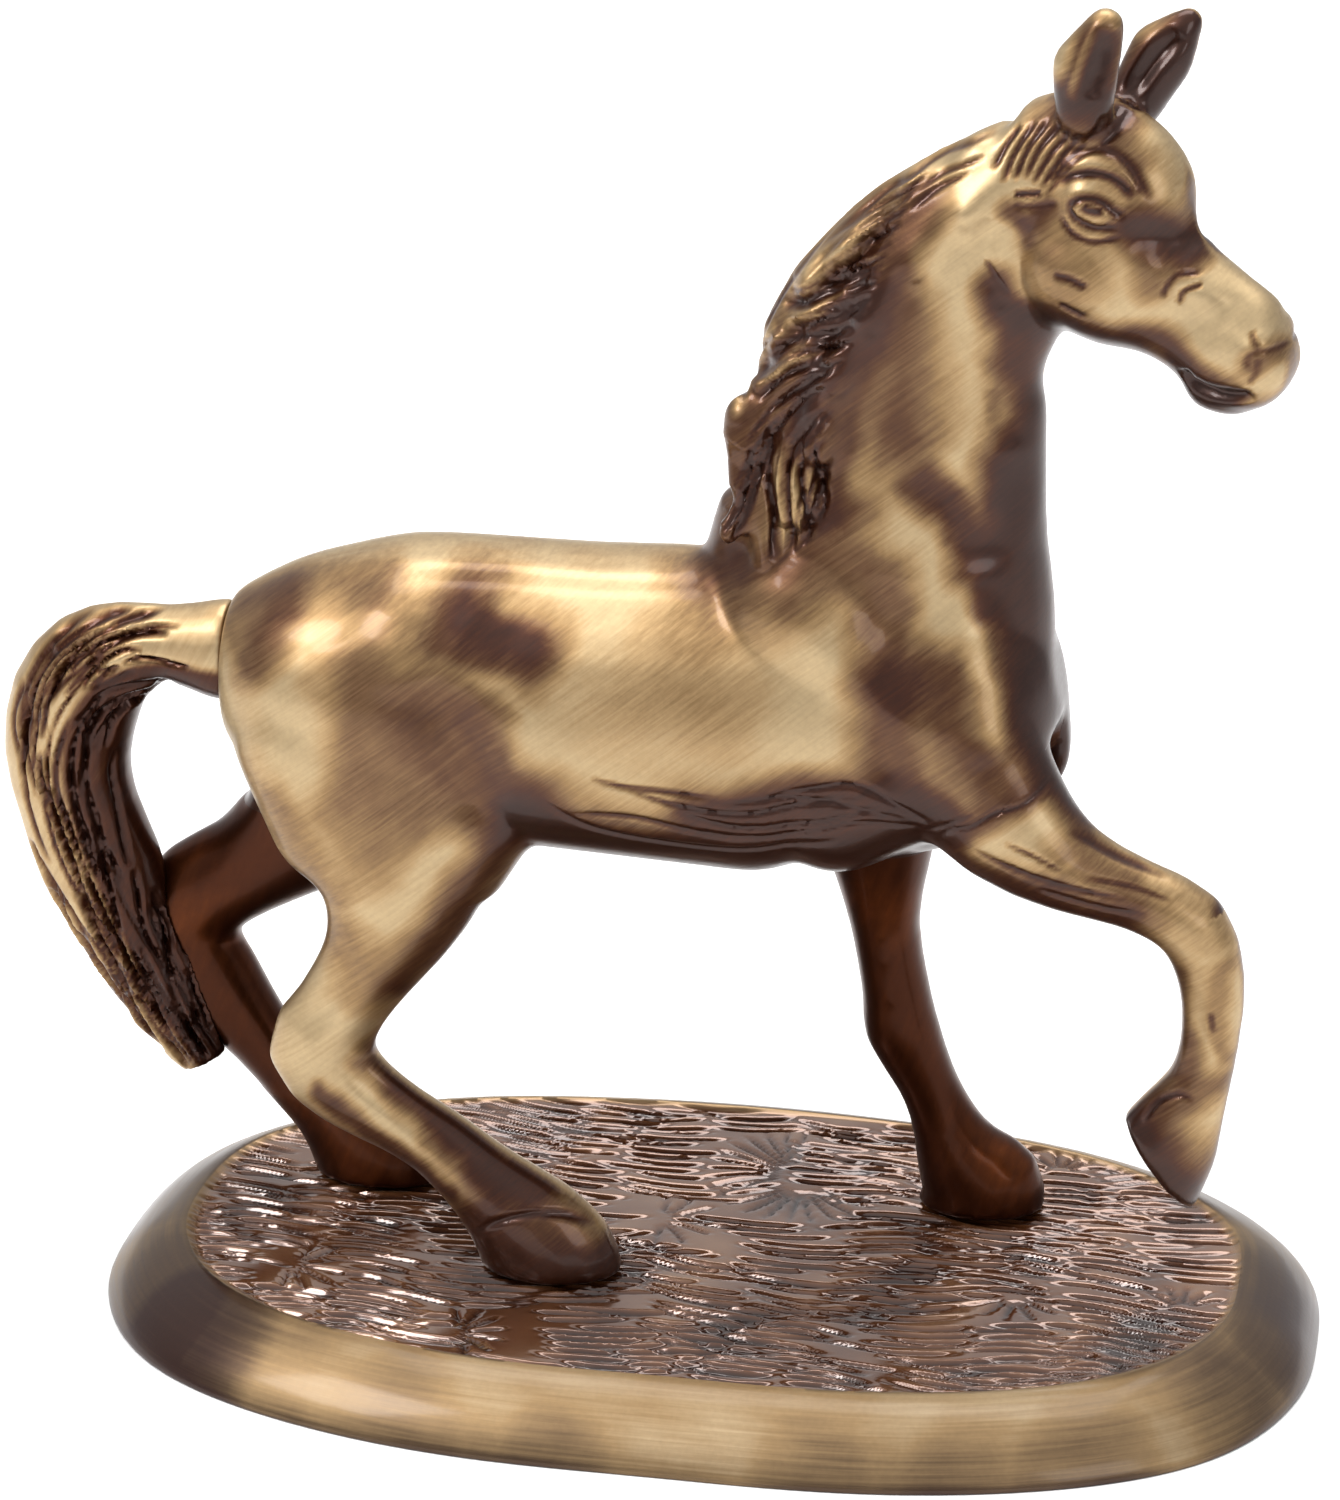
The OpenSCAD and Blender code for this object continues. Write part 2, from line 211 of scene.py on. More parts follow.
class Clay:
    """A skin's points in horse millimetres, its normals, and how much patina each point keeps, with the
    mane's painted shadow counted in.
    """

    def __init__(self, obj):
        self.obj = obj
        self.count = len(obj.data.vertices)
        self.grime = np.zeros(self.count)
        self.stained_and_shaded = np.zeros(self.count)
        self.shine = np.zeros(self.count)
        self.read()

    def read(self):
        flat = np.zeros(self.count * 3, np.float32)
        self.obj.data.vertices.foreach_get("co", flat)
        self.points = to_horse(flat.reshape(-1, 3).astype(float))
        self.obj.data.vertices.foreach_get("normal", flat)
        self.normals = flat.reshape(-1, 3).astype(float)
        self.head_points = face_forward(self.points)
        self.head_normals = face_forward(self.normals + [POLL_X, 0, 0]) - [POLL_X, 0, 0]

    def write(self):
        self.obj.data.vertices.foreach_set("co", to_row(self.points).astype(np.float32).ravel())
        self.obj.data.update()
        self.read()

    def smooth(self, where, rounds):
        """Laplacian smoothing of the vertices in the mask."""
        bm = bmesh.new()
        bm.from_mesh(self.obj.data)
        bm.verts.ensure_lookup_table()
        chosen = [bm.verts[i] for i in np.flatnonzero(where)]
        for _ in range(rounds):
            bmesh.ops.smooth_vert(bm, verts=chosen, factor=0.5, use_axis_x=True, use_axis_y=True,
                                  use_axis_z=True)
        bm.to_mesh(self.obj.data)
        bm.free()
        self.read()


horse = Clay(body)
brush = Clay(tail)
x, y, z = horse.points.T
print("clay:", horse.count, "points on the horse and", brush.count, "on the tail")

# %% Lines and strokes
EDGE_ON = 0.02         # skin whose normal turns this little to a side isn't cut from that side
FULL_SPREAD = 1.35     # the patina fills a little more than the middle of a cut
END_POWER = 0.6        # how bluntly a cut fades at its ends
LEAST = 1e-9


def smoothstep(low, high, v):
    """0 below low and 1 above high, with a soft rise between."""
    t = np.clip((v - low) / (high - low), 0, 1)
    return t * t * (3 - 2 * t)


def near_line(flat, line, width):
    """Which points lie within width of the line, how far off, and how far along it from 0 to 1."""
    line = np.asarray(line, float)
    low, high = line.min(0) - width, line.max(0) + width
    index = np.flatnonzero((flat[:, 0] > low[0]) & (flat[:, 0] < high[0])
                           & (flat[:, 1] > low[1]) & (flat[:, 1] < high[1]))
    p = flat[index]
    best, along = np.full(len(p), 1 / LEAST), np.zeros(len(p))
    steps = np.linalg.norm(np.diff(line, axis=0), axis=1)
    total, done = max(steps.sum(), LEAST), 0.0
    for a, b, step in zip(line[:-1], line[1:], steps):
        t = np.clip(((p - a) @ (b - a)) / max(step * step, LEAST), 0, 1)
        d = np.linalg.norm(p - (a + t[:, None] * (b - a)), axis=1)
        closer = d < best
        best[closer] = d[closer]
        along[closer] = (done + t[closer] * step) / total
        done += step
    inside = best < width
    return index[inside], best[inside], along[inside]


def curved(line, per=6):
    """More points along a smooth curve through the given ones."""
    p = np.asarray(line, float)
    if len(p) < 3:
        return p
    out = []
    for i in range(len(p) - 1):
        a, b, c, d = p[max(i - 1, 0)], p[i], p[i + 1], p[min(i + 2, len(p) - 1)]
        for k in range(per):
            t = k / per
            out.append(0.5 * (2 * b + (c - a) * t + (2 * a - 5 * b + 4 * c - d) * t * t
                              + (3 * b - a - 3 * c + d) * t ** 3))
    return np.array(out + [p[-1]])


def stroke(clay, line, width, depth=0.0, grime=0.0, side=RIGHT, head=False, soft=False, ends=0.25,
           reach=(-0.5, 99.0), shine=0.0, wrap=False):
    """Cuts a groove, or raises a ridge for a negative depth, and leaves patina in it. It reaches skin
    that lies between two distances out to its side. A stroke that wraps also cuts skin that faces
    away from its side. Ends is the share of the line over which it fades."""
    points = clay.head_points if head else clay.points
    normals = clay.head_normals if head else clay.normals
    index, off, along = near_line(points[:, [0, 2]], curved(line), width)
    outward = points[index, 1] * side
    keep = (outward > reach[0]) & (outward < reach[1]) & ((normals[index, 1] * side > EDGE_ON) | wrap)
    index, off, along = index[keep], off[keep], along[keep]
    share = 1 - off / width
    if soft:
        share = smoothstep(0, 1, share)
    fade = np.clip(np.minimum(along, 1 - along) / ends, 0, 1) ** END_POWER
    faced = 1.0 if wrap else np.clip(normals[index, 1] * side * 4, 0, 1)
    amount = share * fade * faced
    clay.points[index] -= clay.normals[index] * (amount * depth)[:, None]
    if grime:
        clay.grime[index] = np.maximum(clay.grime[index], np.clip(amount * grime * FULL_SPREAD, 0, grime))
    if shine:
        clay.shine[index] = np.maximum(clay.shine[index], amount * shine)


trial = near_line(horse.points[:, [0, 2]], curved([[-20, 80], [0, 84], [20, 80]]), 1.0)
print(len(trial[0]), "points lie within 1 mm of a line along both flanks")

# %% [markdown]
# ## Blending the muscles
# A cast animal has no creases between its muscles, so the trunk and legs are smoothed a lot, and
# the head, mane and hooves only a little, because their edges have to stay.

# %% Smooth the clay
on_head = (x > 40) & (z > 128)
on_mane = (z > 103) & (x < 30) & (y < -4)
on_hoof = z < 12
horse.smooth(~(on_head | on_mane | on_hoof), 26)
horse.smooth(on_head | on_hoof, 7)
horse.smooth(on_mane, 9)
at_withers = np.hypot(x - 0.5, z - 105) < 8
front_of_neck = (x > 34) & (z > 104) & (z < 142)
horse.smooth(at_withers | front_of_neck, 50)
MANE_EDGE = [[30, 154], [25.6, 146], [23, 139], [20.6, 130], [19, 121]]
MANE_EDGE_WIDTH = 3.2
mane_edge = np.zeros(horse.count, bool)
mane_edge[near_line(horse.points[:, [0, 2]], MANE_EDGE, MANE_EDGE_WIDTH)[0]] = True
horse.smooth(mane_edge & (y < -2), 40)
horse.smooth(np.ones(horse.count, bool), 3)
brush.smooth(np.ones(brush.count, bool), 8)
print("smoothed box in mm:", np.round(horse.points.min(0), 1), np.round(horse.points.max(0), 1))

# %% [markdown]
# ## Large forms
# The broad hollows and swellings come before any detail: the hollow in front of the stifle, the
# groove down the neck, the shoulder's edge, the jaw, and the hollows above the hock. They are wide
# soft strokes on both sides of the horse.

# %% Hollows and swellings of the body and legs
FORMS = [
    # line, width, depth
    ([[-36, 86], [-31, 78], [-26, 70]], 7.0, 1.3),            # hollow before the stifle
    ([[-30, 93], [-22, 88], [-14, 80]], 8.0, 0.5),            # hollow of the loin
    ([[27, 103], [25, 93], [24, 84], [28, 75]], 5.0, 0.8),    # behind the shoulder
    ([[30, 118], [35, 109.5], [37, 104]], 5.0, 0.6),          # hollow at the foot of the neck
    ([[41, 119], [40, 112], [37, 104]], 4.0, 0.4),
    ([[38, 141], [39, 130], [40, 120]], 4.0, 0.8),            # throat
    ([[33, 99], [38, 90], [40, 80]], 7.0, -0.9),              # point of the shoulder
    ([[-52, 88], [-47, 78], [-44, 68]], 9.0, -0.6),           # haunch
    ([[-45, 46], [-49, 39], [-53, 33]], 3.0, 0.8),            # hollow above the hock
    ([[-49, 29.5], [-40, 22.5], [-31, 15.5]], 1.6, 0.5),      # tendon of the hind cannon
    ([[68, 50], [68, 42], [66.5, 35]], 1.8, 0.45),            # tendon of the raised cannon
    ([[45, 68], [54, 64], [62, 61]], 3.4, -0.4),              # forearm muscle
]
for line, width, depth in FORMS:
    stroke(horse, line, width, depth, soft=True)
BEHIND_THE_NECK = [[5, 119], [3.4, 114], [2, 109]]
stroke(horse, BEHIND_THE_NECK, 4.5, 1.5, soft=True, reach=(-30, 30), wrap=True)
MIRRORED_FORMS = FORMS[:7]      # the rest are shapes of the right side's own legs and pose
for line, width, depth in MIRRORED_FORMS:
    stroke(horse, line, width, depth, side=LEFT, soft=True)
horse.write()
horse.smooth(~(on_head | on_mane | on_hoof), 8)
print(len(FORMS) + len(MIRRORED_FORMS), "broad strokes")

# %% Hollows and swellings of the head
HEAD_FORMS = [
    ([[44, 150], [50, 146], [54, 142]], 7.5, -0.7),           # round cheek
    ([[41, 139.5], [39.5, 143], [38.5, 147], [39.5, 152]], 2.6, 0.9),   # edge of the jaw
    ([[57, 151], [61, 151.5], [64.5, 149]], 3.8, 1.1),        # hollow under the brow
    ([[60, 141], [65, 141], [70, 140]], 4.0, 0.5),            # flat of the nose
    ([[62, 147.5], [66, 145.5], [70, 143]], 2.4, -0.6),       # nasal bone
    ([[49, 154.5], [52.8, 155.2], [56.4, 153.8]], 3.4, -0.9),  # eyeball
    ([[47.5, 158.5], [52, 160.6], [57, 158.6]], 2.2, -0.4),   # brow
    ([[73.4, 139.5], [76, 138.6]], 2.6, -0.5),                # nostril's wing
    ([[64, 132.5], [68, 131.2], [73, 132]], 1.7, 0.9),        # between the lips
]
for line, width, depth in HEAD_FORMS:
    for side in (RIGHT, LEFT):
        stroke(horse, line, width, depth, side=side, head=True, soft=True, reach=(0.5, 30))
horse.write()
horse.smooth(on_head & (horse.head_points[:, 0] > 56), 8)
print(len(HEAD_FORMS), "forms on each side of the head")

# %% [markdown]
# ## The face
# The caster's chaser cut the eye, the lids, the brow and the forelock with a graver: narrow sharp
# grooves that the dark patina fills. They are cut at a real graver's width of about half a
# millimetre, on both sides of the face.

# %% Chase the face
FACE_CUTS = [
    # line, width, depth, grime
    ([[49.8, 154.8], [50.6, 155.9], [52.4, 156.7], [54.6, 156.2], [57, 154.1]], 0.7, 0.5, 1.0),   # upper lid
    ([[50, 155.2], [51.2, 153.5], [53.6, 152.6], [56.4, 153]], 0.6, 0.5, 1.0),                    # lower lid
    ([[52, 155.6], [53.4, 155], [54.8, 155.2]], 0.8, 0.2, 1.0),                                   # pupil
    ([[48.8, 153.6], [50.6, 151.6], [53.4, 150.8], [56.8, 151.6]], 0.5, 0.35, 0.9),               # pouch
    ([[48.2, 157.6], [50, 159], [52.6, 159.5], [55.4, 158.9], [58, 156.6]], 0.75, 0.45, 1.0),     # fold
    ([[46.4, 155.6], [47.6, 157.4], [49.6, 160.2], [51.6, 162], [54.4, 162], [57.2, 160.2],
      [59.8, 156.4]], 0.6, 0.35, 0.8),                                                            # brow
    ([[55.6, 161.6], [57.6, 159.4], [58.6, 157]], 0.45, 0.25, 0.7),
    ([[48.8, 146.3], [51, 146], [53.2, 144.9]], 0.55, 0.4, 1.0),                                  # cheek
    ([[49.4, 142.3], [51, 141.3], [52.4, 140.4]], 0.5, 0.4, 1.0),
    ([[62, 143.6], [62.6, 145.6], [64, 147], [66.2, 147]], 0.45, 0.35, 0.8),                      # wrinkles
    ([[64, 143], [64.6, 144.8], [66.8, 145.8]], 0.45, 0.35, 0.8),
    ([[42, 155.2], [46, 156.1]], 0.6, 0.4, 1.0),                                                  # temple
    ([[42, 153.8], [45, 154.2], [48.2, 155.2]], 0.6, 0.25, 0.7),
    ([[38.5, 146], [40, 143.6], [41.6, 141.4]], 0.5, 0.3, 0.8),
    ([[73.4, 140.6], [74.4, 139], [75.2, 138.2], [78, 138.4]], 0.5, 0.2, 0.6),                   # nostril
    ([[73.2, 136], [73.8, 137.6], [75.2, 138.2]], 0.6, 0.25, 0.6),
    ([[74.8, 137.4], [74.6, 135.4], [73.6, 133.6]], 0.5, 0.15, 0.5),
    ([[64.4, 134], [65.6, 131.9], [69.6, 131], [74, 131.9]], 0.9, 0.9, 1.0),                      # mouth
]
FORELOCK = [
    [[40.6, 156.6], [41.4, 160.2], [43.6, 164.4]], [[42, 157], [43.2, 161], [45.6, 165]],
    [[43.4, 157.4], [45, 161.5], [48, 165.6]], [[44.6, 157], [46.6, 161], [49.6, 165]],
    [[45.8, 156.6], [48.2, 161], [51, 164.4]], [[47, 157.4], [49, 160.8], [51.4, 163]],
    [[39, 158], [40, 161], [41.6, 163.6]], [[51, 163], [53, 165], [53.6, 167]],
    [[52.6, 162.4], [54.4, 164.4], [54.6, 166.8]],
]
FACE_WIDER, FACE_DEEPER = 1.25, 1.1     # a skin of this fineness needs slightly bolder cuts
for side in (RIGHT, LEFT):
    for line, width, depth, grime in FACE_CUTS:
        stroke(horse, line, width * FACE_WIDER, depth * FACE_DEEPER, grime, side=side, head=True,
               reach=(0.3, 30), ends=0.12)
    for line in FORELOCK:
        stroke(horse, line, 0.7, 0.45, 0.95, side=side, head=True, reach=(-1, 30), ends=0.2)
print(2 * (len(FACE_CUTS) + len(FORELOCK)), "cuts on the face")

# %% [markdown]
# ## The ears
# Each ear is a cup open to the front and outside. The near one shows its back and the far one its
# dark hollow.

# %% Hollow the ears
stroke(horse, [[52.6, 169.5], [53.6, 174], [54.2, 178.4]], 1.9, 1.0, 1.0, head=True, soft=True, ends=0.3)
stroke(horse, [[49.6, 169], [51, 174.5], [52.8, 179.4]], 1.3, -0.3, head=True, soft=True, shine=0.6)
stroke(horse, [[52.4, 166], [54.6, 170], [57.6, 174.2]], 2.2, 1.2, 1.0, head=True, soft=True, ends=0.25,
       reach=(-14, -2))
stroke(horse, [[53, 166.5], [55, 171], [58, 175.4]], 2.4, 0.8, 0.9, side=LEFT, head=True, soft=True)
horse.write()

# %% [markdown]
# ## The mane
# The mane is a mass of locks, swept back from the neck to the crest, and at its foot the locks hang
# down over the shoulder. The chaser cut it in deep bands between raised locks, then scored each
# lock with finer hairs. Guide lines give the sweep, and the hairs run between neighbouring guides.

# %% Draw the mane
MANE_GUIDES = [
    [[30, 157.5], [24.5, 153.8], [18, 148.6], [12.4, 141.6]],
    [[27, 154], [22.4, 150.4], [16.6, 145.6], [11, 139.4]],
    [[24.6, 148.5], [20.6, 146], [15.4, 141.8], [9.8, 137]],
    [[23.2, 143.8], [19, 141.6], [14, 139], [8.4, 134.4]],
    [[22, 139.6], [17.6, 137], [12.6, 134.6], [6.8, 130]],
    [[20.6, 136], [16.4, 133.6], [11, 131.4], [5.6, 126.6]],
    [[19, 132.6], [14.6, 130.2], [10, 127.6], [5.6, 121.8]],
    [[18, 128.6], [13.4, 125.8], [10, 121], [6.6, 115], [3.4, 107.6]],
    [[17.6, 125], [13.4, 120.6], [11.2, 114], [9.6, 105]],
    [[17.4, 121.6], [15, 118], [13.6, 112.6], [12.6, 105.4]],
    [[17.4, 118.6], [16.8, 115], [16.4, 111.6], [15, 107.6]],
]
MANE_BANDS = [
    ([[21.8, 143.8], [19, 141.8], [15, 139.8], [9.6, 136.8]], 1.25, 1.3),
    ([[22, 140.8], [18.4, 138.4], [14, 136.2], [8.6, 133.8]], 0.9, 1.0),
    ([[19.6, 137.4], [15.4, 135.2], [11, 133.4], [7, 130.2]], 1.0, 1.2),
    ([[19, 135], [14.4, 133], [10.4, 131.4], [6.6, 127.4]], 1.0, 1.1),
    ([[17.2, 133.4], [12.6, 130.6], [10, 128.6], [7, 125]], 0.8, 1.0),
    ([[17, 131.4], [13, 128], [8.6, 124]], 0.8, 1.0),
    ([[21, 146], [19, 144.6], [16.4, 142.6]], 0.55, 0.7),
    ([[23.6, 150], [21.4, 148], [18.6, 146.2]], 0.5, 0.5),
    ([[15, 141.8], [12.6, 140.2], [10.6, 138.8]], 0.45, 0.5),
    ([[8.6, 133.4], [6.2, 130], [4.6, 124.6]], 0.5, 0.6),
    ([[9, 122.6], [8.8, 116], [10, 110], [10, 104.6]], 0.9, 1.0),
    ([[11.6, 121], [11.6, 115.6], [12.2, 108.6], [12, 105.6]], 0.6, 0.8),
    ([[13.2, 121.4], [13.6, 116], [15, 110.6], [13.6, 106.4]], 0.7, 0.9),
    ([[15.6, 122], [15.6, 116.6], [16.6, 113], [15.4, 109]], 0.6, 0.8),
    ([[8, 119], [7.4, 115], [6.4, 111], [4.6, 106.6]], 0.8, 0.9),
    ([[6.6, 119.4], [6, 115], [5, 111], [3, 107.6]], 0.7, 0.8),
    ([[16, 136], [14, 128], [12.6, 122]], 2.0, 0.4),
]
MANE_LOCKS = [
    ([[12, 121.4], [10.6, 116.4], [11, 111], [11, 104.6]], 0.5),
    ([[14, 121], [12.6, 116], [13.4, 110], [12.8, 106]], 0.4),
    ([[20, 146.6], [15, 143.6], [10.8, 139.6]], 1.2),
    ([[20, 142.6], [14.4, 138], [9, 135.4]], 0.55),
    ([[16, 133.6], [11, 130], [6.4, 126]], 0.5),
    ([[9.6, 136], [6.4, 130.6], [4.4, 125], [4.6, 121.6]], 1.5),
    ([[24, 150.6], [18, 146.4], [12, 141]], 0.8),
    ([[22, 147.6], [16, 143.4], [11, 138.4]], 0.7),
    ([[17, 138.6], [12, 136], [8.4, 132.4]], 0.7),
    ([[14.4, 134], [9.8, 130.4], [6.6, 126]], 0.6),
    ([[27, 154.4], [20.6, 149.6], [15, 144.4]], 0.9),
]
CREST_LINES = [
    [[37, 162], [32, 159.6], [27, 156.4], [20.6, 151.4], [14, 144.6]],
    [[33.6, 160.4], [29.4, 158], [24.4, 154.4], [19.4, 149.6], [13, 142]],
    [[39.4, 163.6], [33, 161.2], [26, 157.4], [19, 151.6], [12, 143]],
    [[26, 156.2], [17, 148.8], [10, 139.4], [6, 130.6], [5, 124]],
    [[36, 159.4], [31, 157], [27.4, 154.4]],
    [[34, 157.4], [30, 155], [26.6, 152]],
]
print(len(MANE_GUIDES), "guides,", len(MANE_BANDS), "bands,", len(MANE_LOCKS), "locks and", len(CREST_LINES),
      "crest lines drawn")

# %% Cut the mane
HAIRS, HAIR_POINTS = 85, 12
for line, width in MANE_LOCKS:
    stroke(horse, line, width * 1.8, -0.5, soft=True, shine=1.0, reach=(1, 30))
for line, width, depth in MANE_BANDS:
    stroke(horse, line, width, depth * 0.9, 1.0, reach=(-2, 30), ends=0.18, wrap=True)
hair = random.Random(7)
for _ in range(HAIRS):
    at = hair.uniform(0, len(MANE_GUIDES) - 1.001)
    one, two, share = curved(MANE_GUIDES[int(at)], 4), curved(MANE_GUIDES[int(at) + 1], 4), at % 1
    spread = np.linspace(0, 1, HAIR_POINTS)
    mixed = np.column_stack([
        (1 - share) * np.interp(spread, np.linspace(0, 1, len(one)), one[:, k])
        + share * np.interp(spread, np.linspace(0, 1, len(two)), two[:, k]) for k in (0, 1)])
    first = hair.randrange(0, 3 if at < 6 else 6)
    last = min(HAIR_POINTS, first + hair.randrange(5, 9))
    stroke(horse, mixed[first:last], hair.uniform(0.4, 0.6), hair.uniform(0.3, 0.5), hair.uniform(0.7, 1.0),
           reach=(-2.5, 30), ends=0.3, wrap=True)
for line in CREST_LINES:
    for side in (RIGHT, LEFT):
        stroke(horse, line, 0.5, 0.4, 0.75, side=side, reach=(-3, 12), ends=0.2)
horse.write()
print(HAIRS, "hairs scored between the guides")

# %% [markdown]
# ## Lines cut into the body
# Under the belly and at the elbow the sculptor scored wavy lines, the brazed seam of the raised leg
# was left ragged, and each hoof has a line round its coronet.

# %% Cut the body's lines
BODY_CUTS = [
    ([[-13, 74.6], [-8.5, 73.8], [-3, 73.6], [4, 73.2]], 0.55, 0.4, 0.9),
    ([[-8, 73.4], [-2, 71.8], [6, 71], [13, 72], [22.4, 74.4]], 0.6, 0.45, 1.0),
    ([[-2, 70.8], [7, 69], [17, 70], [26, 73.4]], 0.6, 0.45, 1.0),
    ([[-20, 71], [-13, 67], [-3, 65.4], [9, 65.4], [20, 67.6]], 0.6, 0.4, 1.0),
    ([[9.6, 73.2], [16, 74.8], [23, 75.6], [32, 70.6]], 0.6, 0.45, 1.0),
    ([[3, 72.4], [12, 73.4], [20, 73], [29, 71]], 0.5, 0.35, 1.0),
    ([[2, 68], [12, 67.6], [22, 70.4], [31, 70]], 0.5, 0.35, 1.0),
    ([[-16, 69], [-8, 69.4], [0, 68], [8, 67]], 0.5, 0.35, 0.9),
    ([[32.4, 68], [34.6, 70.4], [37.4, 71.4], [40.6, 73.6], [44, 74.6], [47.4, 77]], 0.5, 0.45, 1.0),
    ([[31, 69.4], [35, 71.6], [38, 73.4]], 0.5, 0.3, 0.8),
    ([[38, 68], [42.4, 66.2], [49.4, 64.2], [58.4, 62.6]], 0.6, 0.4, 1.0),
    ([[50.5, 70.6], [56, 67.4], [63, 64.8]], 0.5, 0.35, 0.8),
    ([[46.6, 63.2], [54, 61.4], [61, 60.6]], 0.5, 0.35, 0.8),
    ([[52, 65.4], [58, 64.4], [64, 62.4]], 0.45, 0.3, 0.7),
    ([[42, 69.6], [46, 68], [50, 66]], 0.45, 0.3, 0.7),
    ([[-29.4, 6], [-26.6, 8.4], [-22, 10], [-17, 9.8], [-12.8, 7.6]], 0.7, 0.5, 0.9),
    ([[61, 30], [63, 33], [66, 34.6], [68, 34]], 0.6, 0.4, 0.9),
    ([[69.6, 47], [70, 44]], 0.7, 0.2, 0.7),
]
for line, width, depth, grime in BODY_CUTS:
    stroke(horse, line, width, depth, grime)
LEFT_CUTS = [
    *BODY_CUTS[1:5],
    ([[-57, 7], [-52, 9.4], [-47, 9.4], [-42, 7]], 0.7, 0.5, 0.9),
    ([[26, 8.2], [30, 9.6], [35, 8.8], [39, 6.6]], 0.7, 0.4, 0.9),
]
for line, width, depth, grime in LEFT_CUTS:
    stroke(horse, line, width, depth, grime, side=LEFT)
# a low ridge along the back, and a highlight painted along it: its shine makes it pale brass
BACK_RIDGE_HIGHLIGHT = [[-54, 95.4], [-44, 97.6], [-30, 98.4], [-14, 98.4], [2, 99.4]]
stroke(horse, BACK_RIDGE_HIGHLIGHT, 1.3, -0.35, soft=True, shine=0.5, reach=(1.5, 30))
horse.write()
print(len(BODY_CUTS) + len(LEFT_CUTS), "cuts on the body")

# %% [markdown]
# ## The tail
# The tail is a bow of long hair that sweeps back, down, and in to the left hock. Its strands run
# along the bow. A curve down its middle tells how far along and across the bow each point lies, so
# that long wavy grooves follow it all the way, deep and dark on the inside of the bow.

# %% Comb the tail
TAIL_CURVE = curved([
    [-62, 81.5], [-68.8, 81.3], [-75.2, 81.4], [-80.6, 80], [-85.6, 77], [-89.4, 71.2], [-91, 63],
    [-90, 55], [-87.4, 46], [-84.6, 37.8], [-81.4, 29.6], [-78, 21.6], [-74.8, 15.4]], 5)


def along_tail(share, across):
    """A point of the tail seen from the side: a share of the way down, and mm out from its middle."""
    place = share * (len(TAIL_CURVE) - 1)
    low = int(min(place, len(TAIL_CURVE) - 2))
    way = TAIL_CURVE[low + 1] - TAIL_CURVE[low]
    outward = np.array([way[1], -way[0]]) / np.linalg.norm(way)
    return TAIL_CURVE[low] + way * (place - low) + outward * across


comb = random.Random(11)
STRANDS = 150
INNER_EDGE = -1.0      # strands further in than this lie in the bow's dark inside
for k in range(STRANDS):
    side = RIGHT if k % 3 else LEFT
    across = comb.uniform(-8.0, 8.0)
    start = comb.uniform(0.1, 0.86)
    length = comb.uniform(0.08, 0.26)
    wave, phase = comb.uniform(0.2, 0.6), comb.uniform(0, 6.28)
    line = [along_tail(min(start + length * t, 1.0),
                       across * (1 - 0.25 * t) + wave * math.sin(phase + 5 * t))
            for t in np.linspace(0, 1, 7)]
    inner = across < INNER_EDGE
    stroke(brush, line, comb.uniform(0.45, 0.8), comb.uniform(0.45, 0.9),
           1.0 if inner else comb.uniform(0.8, 1.0), side=side, ends=0.22, reach=(-12, 20))
brush.write()
print(STRANDS, "strands combed into the tail")

# %% [markdown]
# ## Staying in the box
# No stroke may push the skin out of the CAD model's box, so both skins are held a little inside it.

# %% Hold the skins inside the CAD's box
MARGIN = 0.06      # mm
low, high = (to_horse(np.array(corner)) for corner in cad_box)
for clay in (horse, brush):
    clay.points = np.clip(clay.points, low + MARGIN, high - MARGIN)
    clay.write()
print("held inside", np.round(low, 1), np.round(high, 1), "mm")

# %% [markdown]
# ## Rubbing back the patina
# After the dark dip, the founder rubbed the bronze with abrasive. What is proud and faces outwards
# comes up pale; what faces inwards, forwards between the legs, or down stays dark; and the cloth
# skips places at random. So each point gets a number, from 0 where the patina is whole to 1 where it
# is rubbed away: it starts from the way the surface faces, and the stains are taken off it.
# Among the stains is the mane's shadow on the neck, painted in; the back's ridge has a painted highlight.

# %% Smooth noise
RAGGED_BY = 1.8      # mm
WAVES = 5            # in each octave


def soft_noise(points, size, seed, octaves=3):
    """Smooth seeded noise about -1 to 1, size mm across: a sum of sine waves in random directions."""
    rng = np.random.default_rng(seed)
    total = np.zeros(len(points))
    for k in range(octaves):
        for _ in range(WAVES):
            way = rng.normal(size=3)
            way /= np.linalg.norm(way)
            phase = rng.uniform(0, 6.28)
            total += np.sin(points @ way * 2 * math.pi * 2 ** k / size + phase) / 2 ** k / 3
    return total / 1.6


def ragged(flat, points):
    """Side-view places pushed about by a few millimetres, so that a stain's outline is ragged."""
    return flat + np.column_stack([soft_noise(points, 15, 31), soft_noise(points, 15, 37)]) * RAGGED_BY


horse_flat, head_flat = horse.points[:, [0, 2]], horse.head_points[:, [0, 2]]
horse.body_seen = ragged(horse_flat, horse.points)
horse.head_seen = ragged(head_flat, horse.points) * 0.5 + head_flat * 0.5      # half as much there
pushed = float(np.abs(horse.body_seen - horse_flat).max())
print("stains are pushed about by up to", round(pushed, 1), "mm")
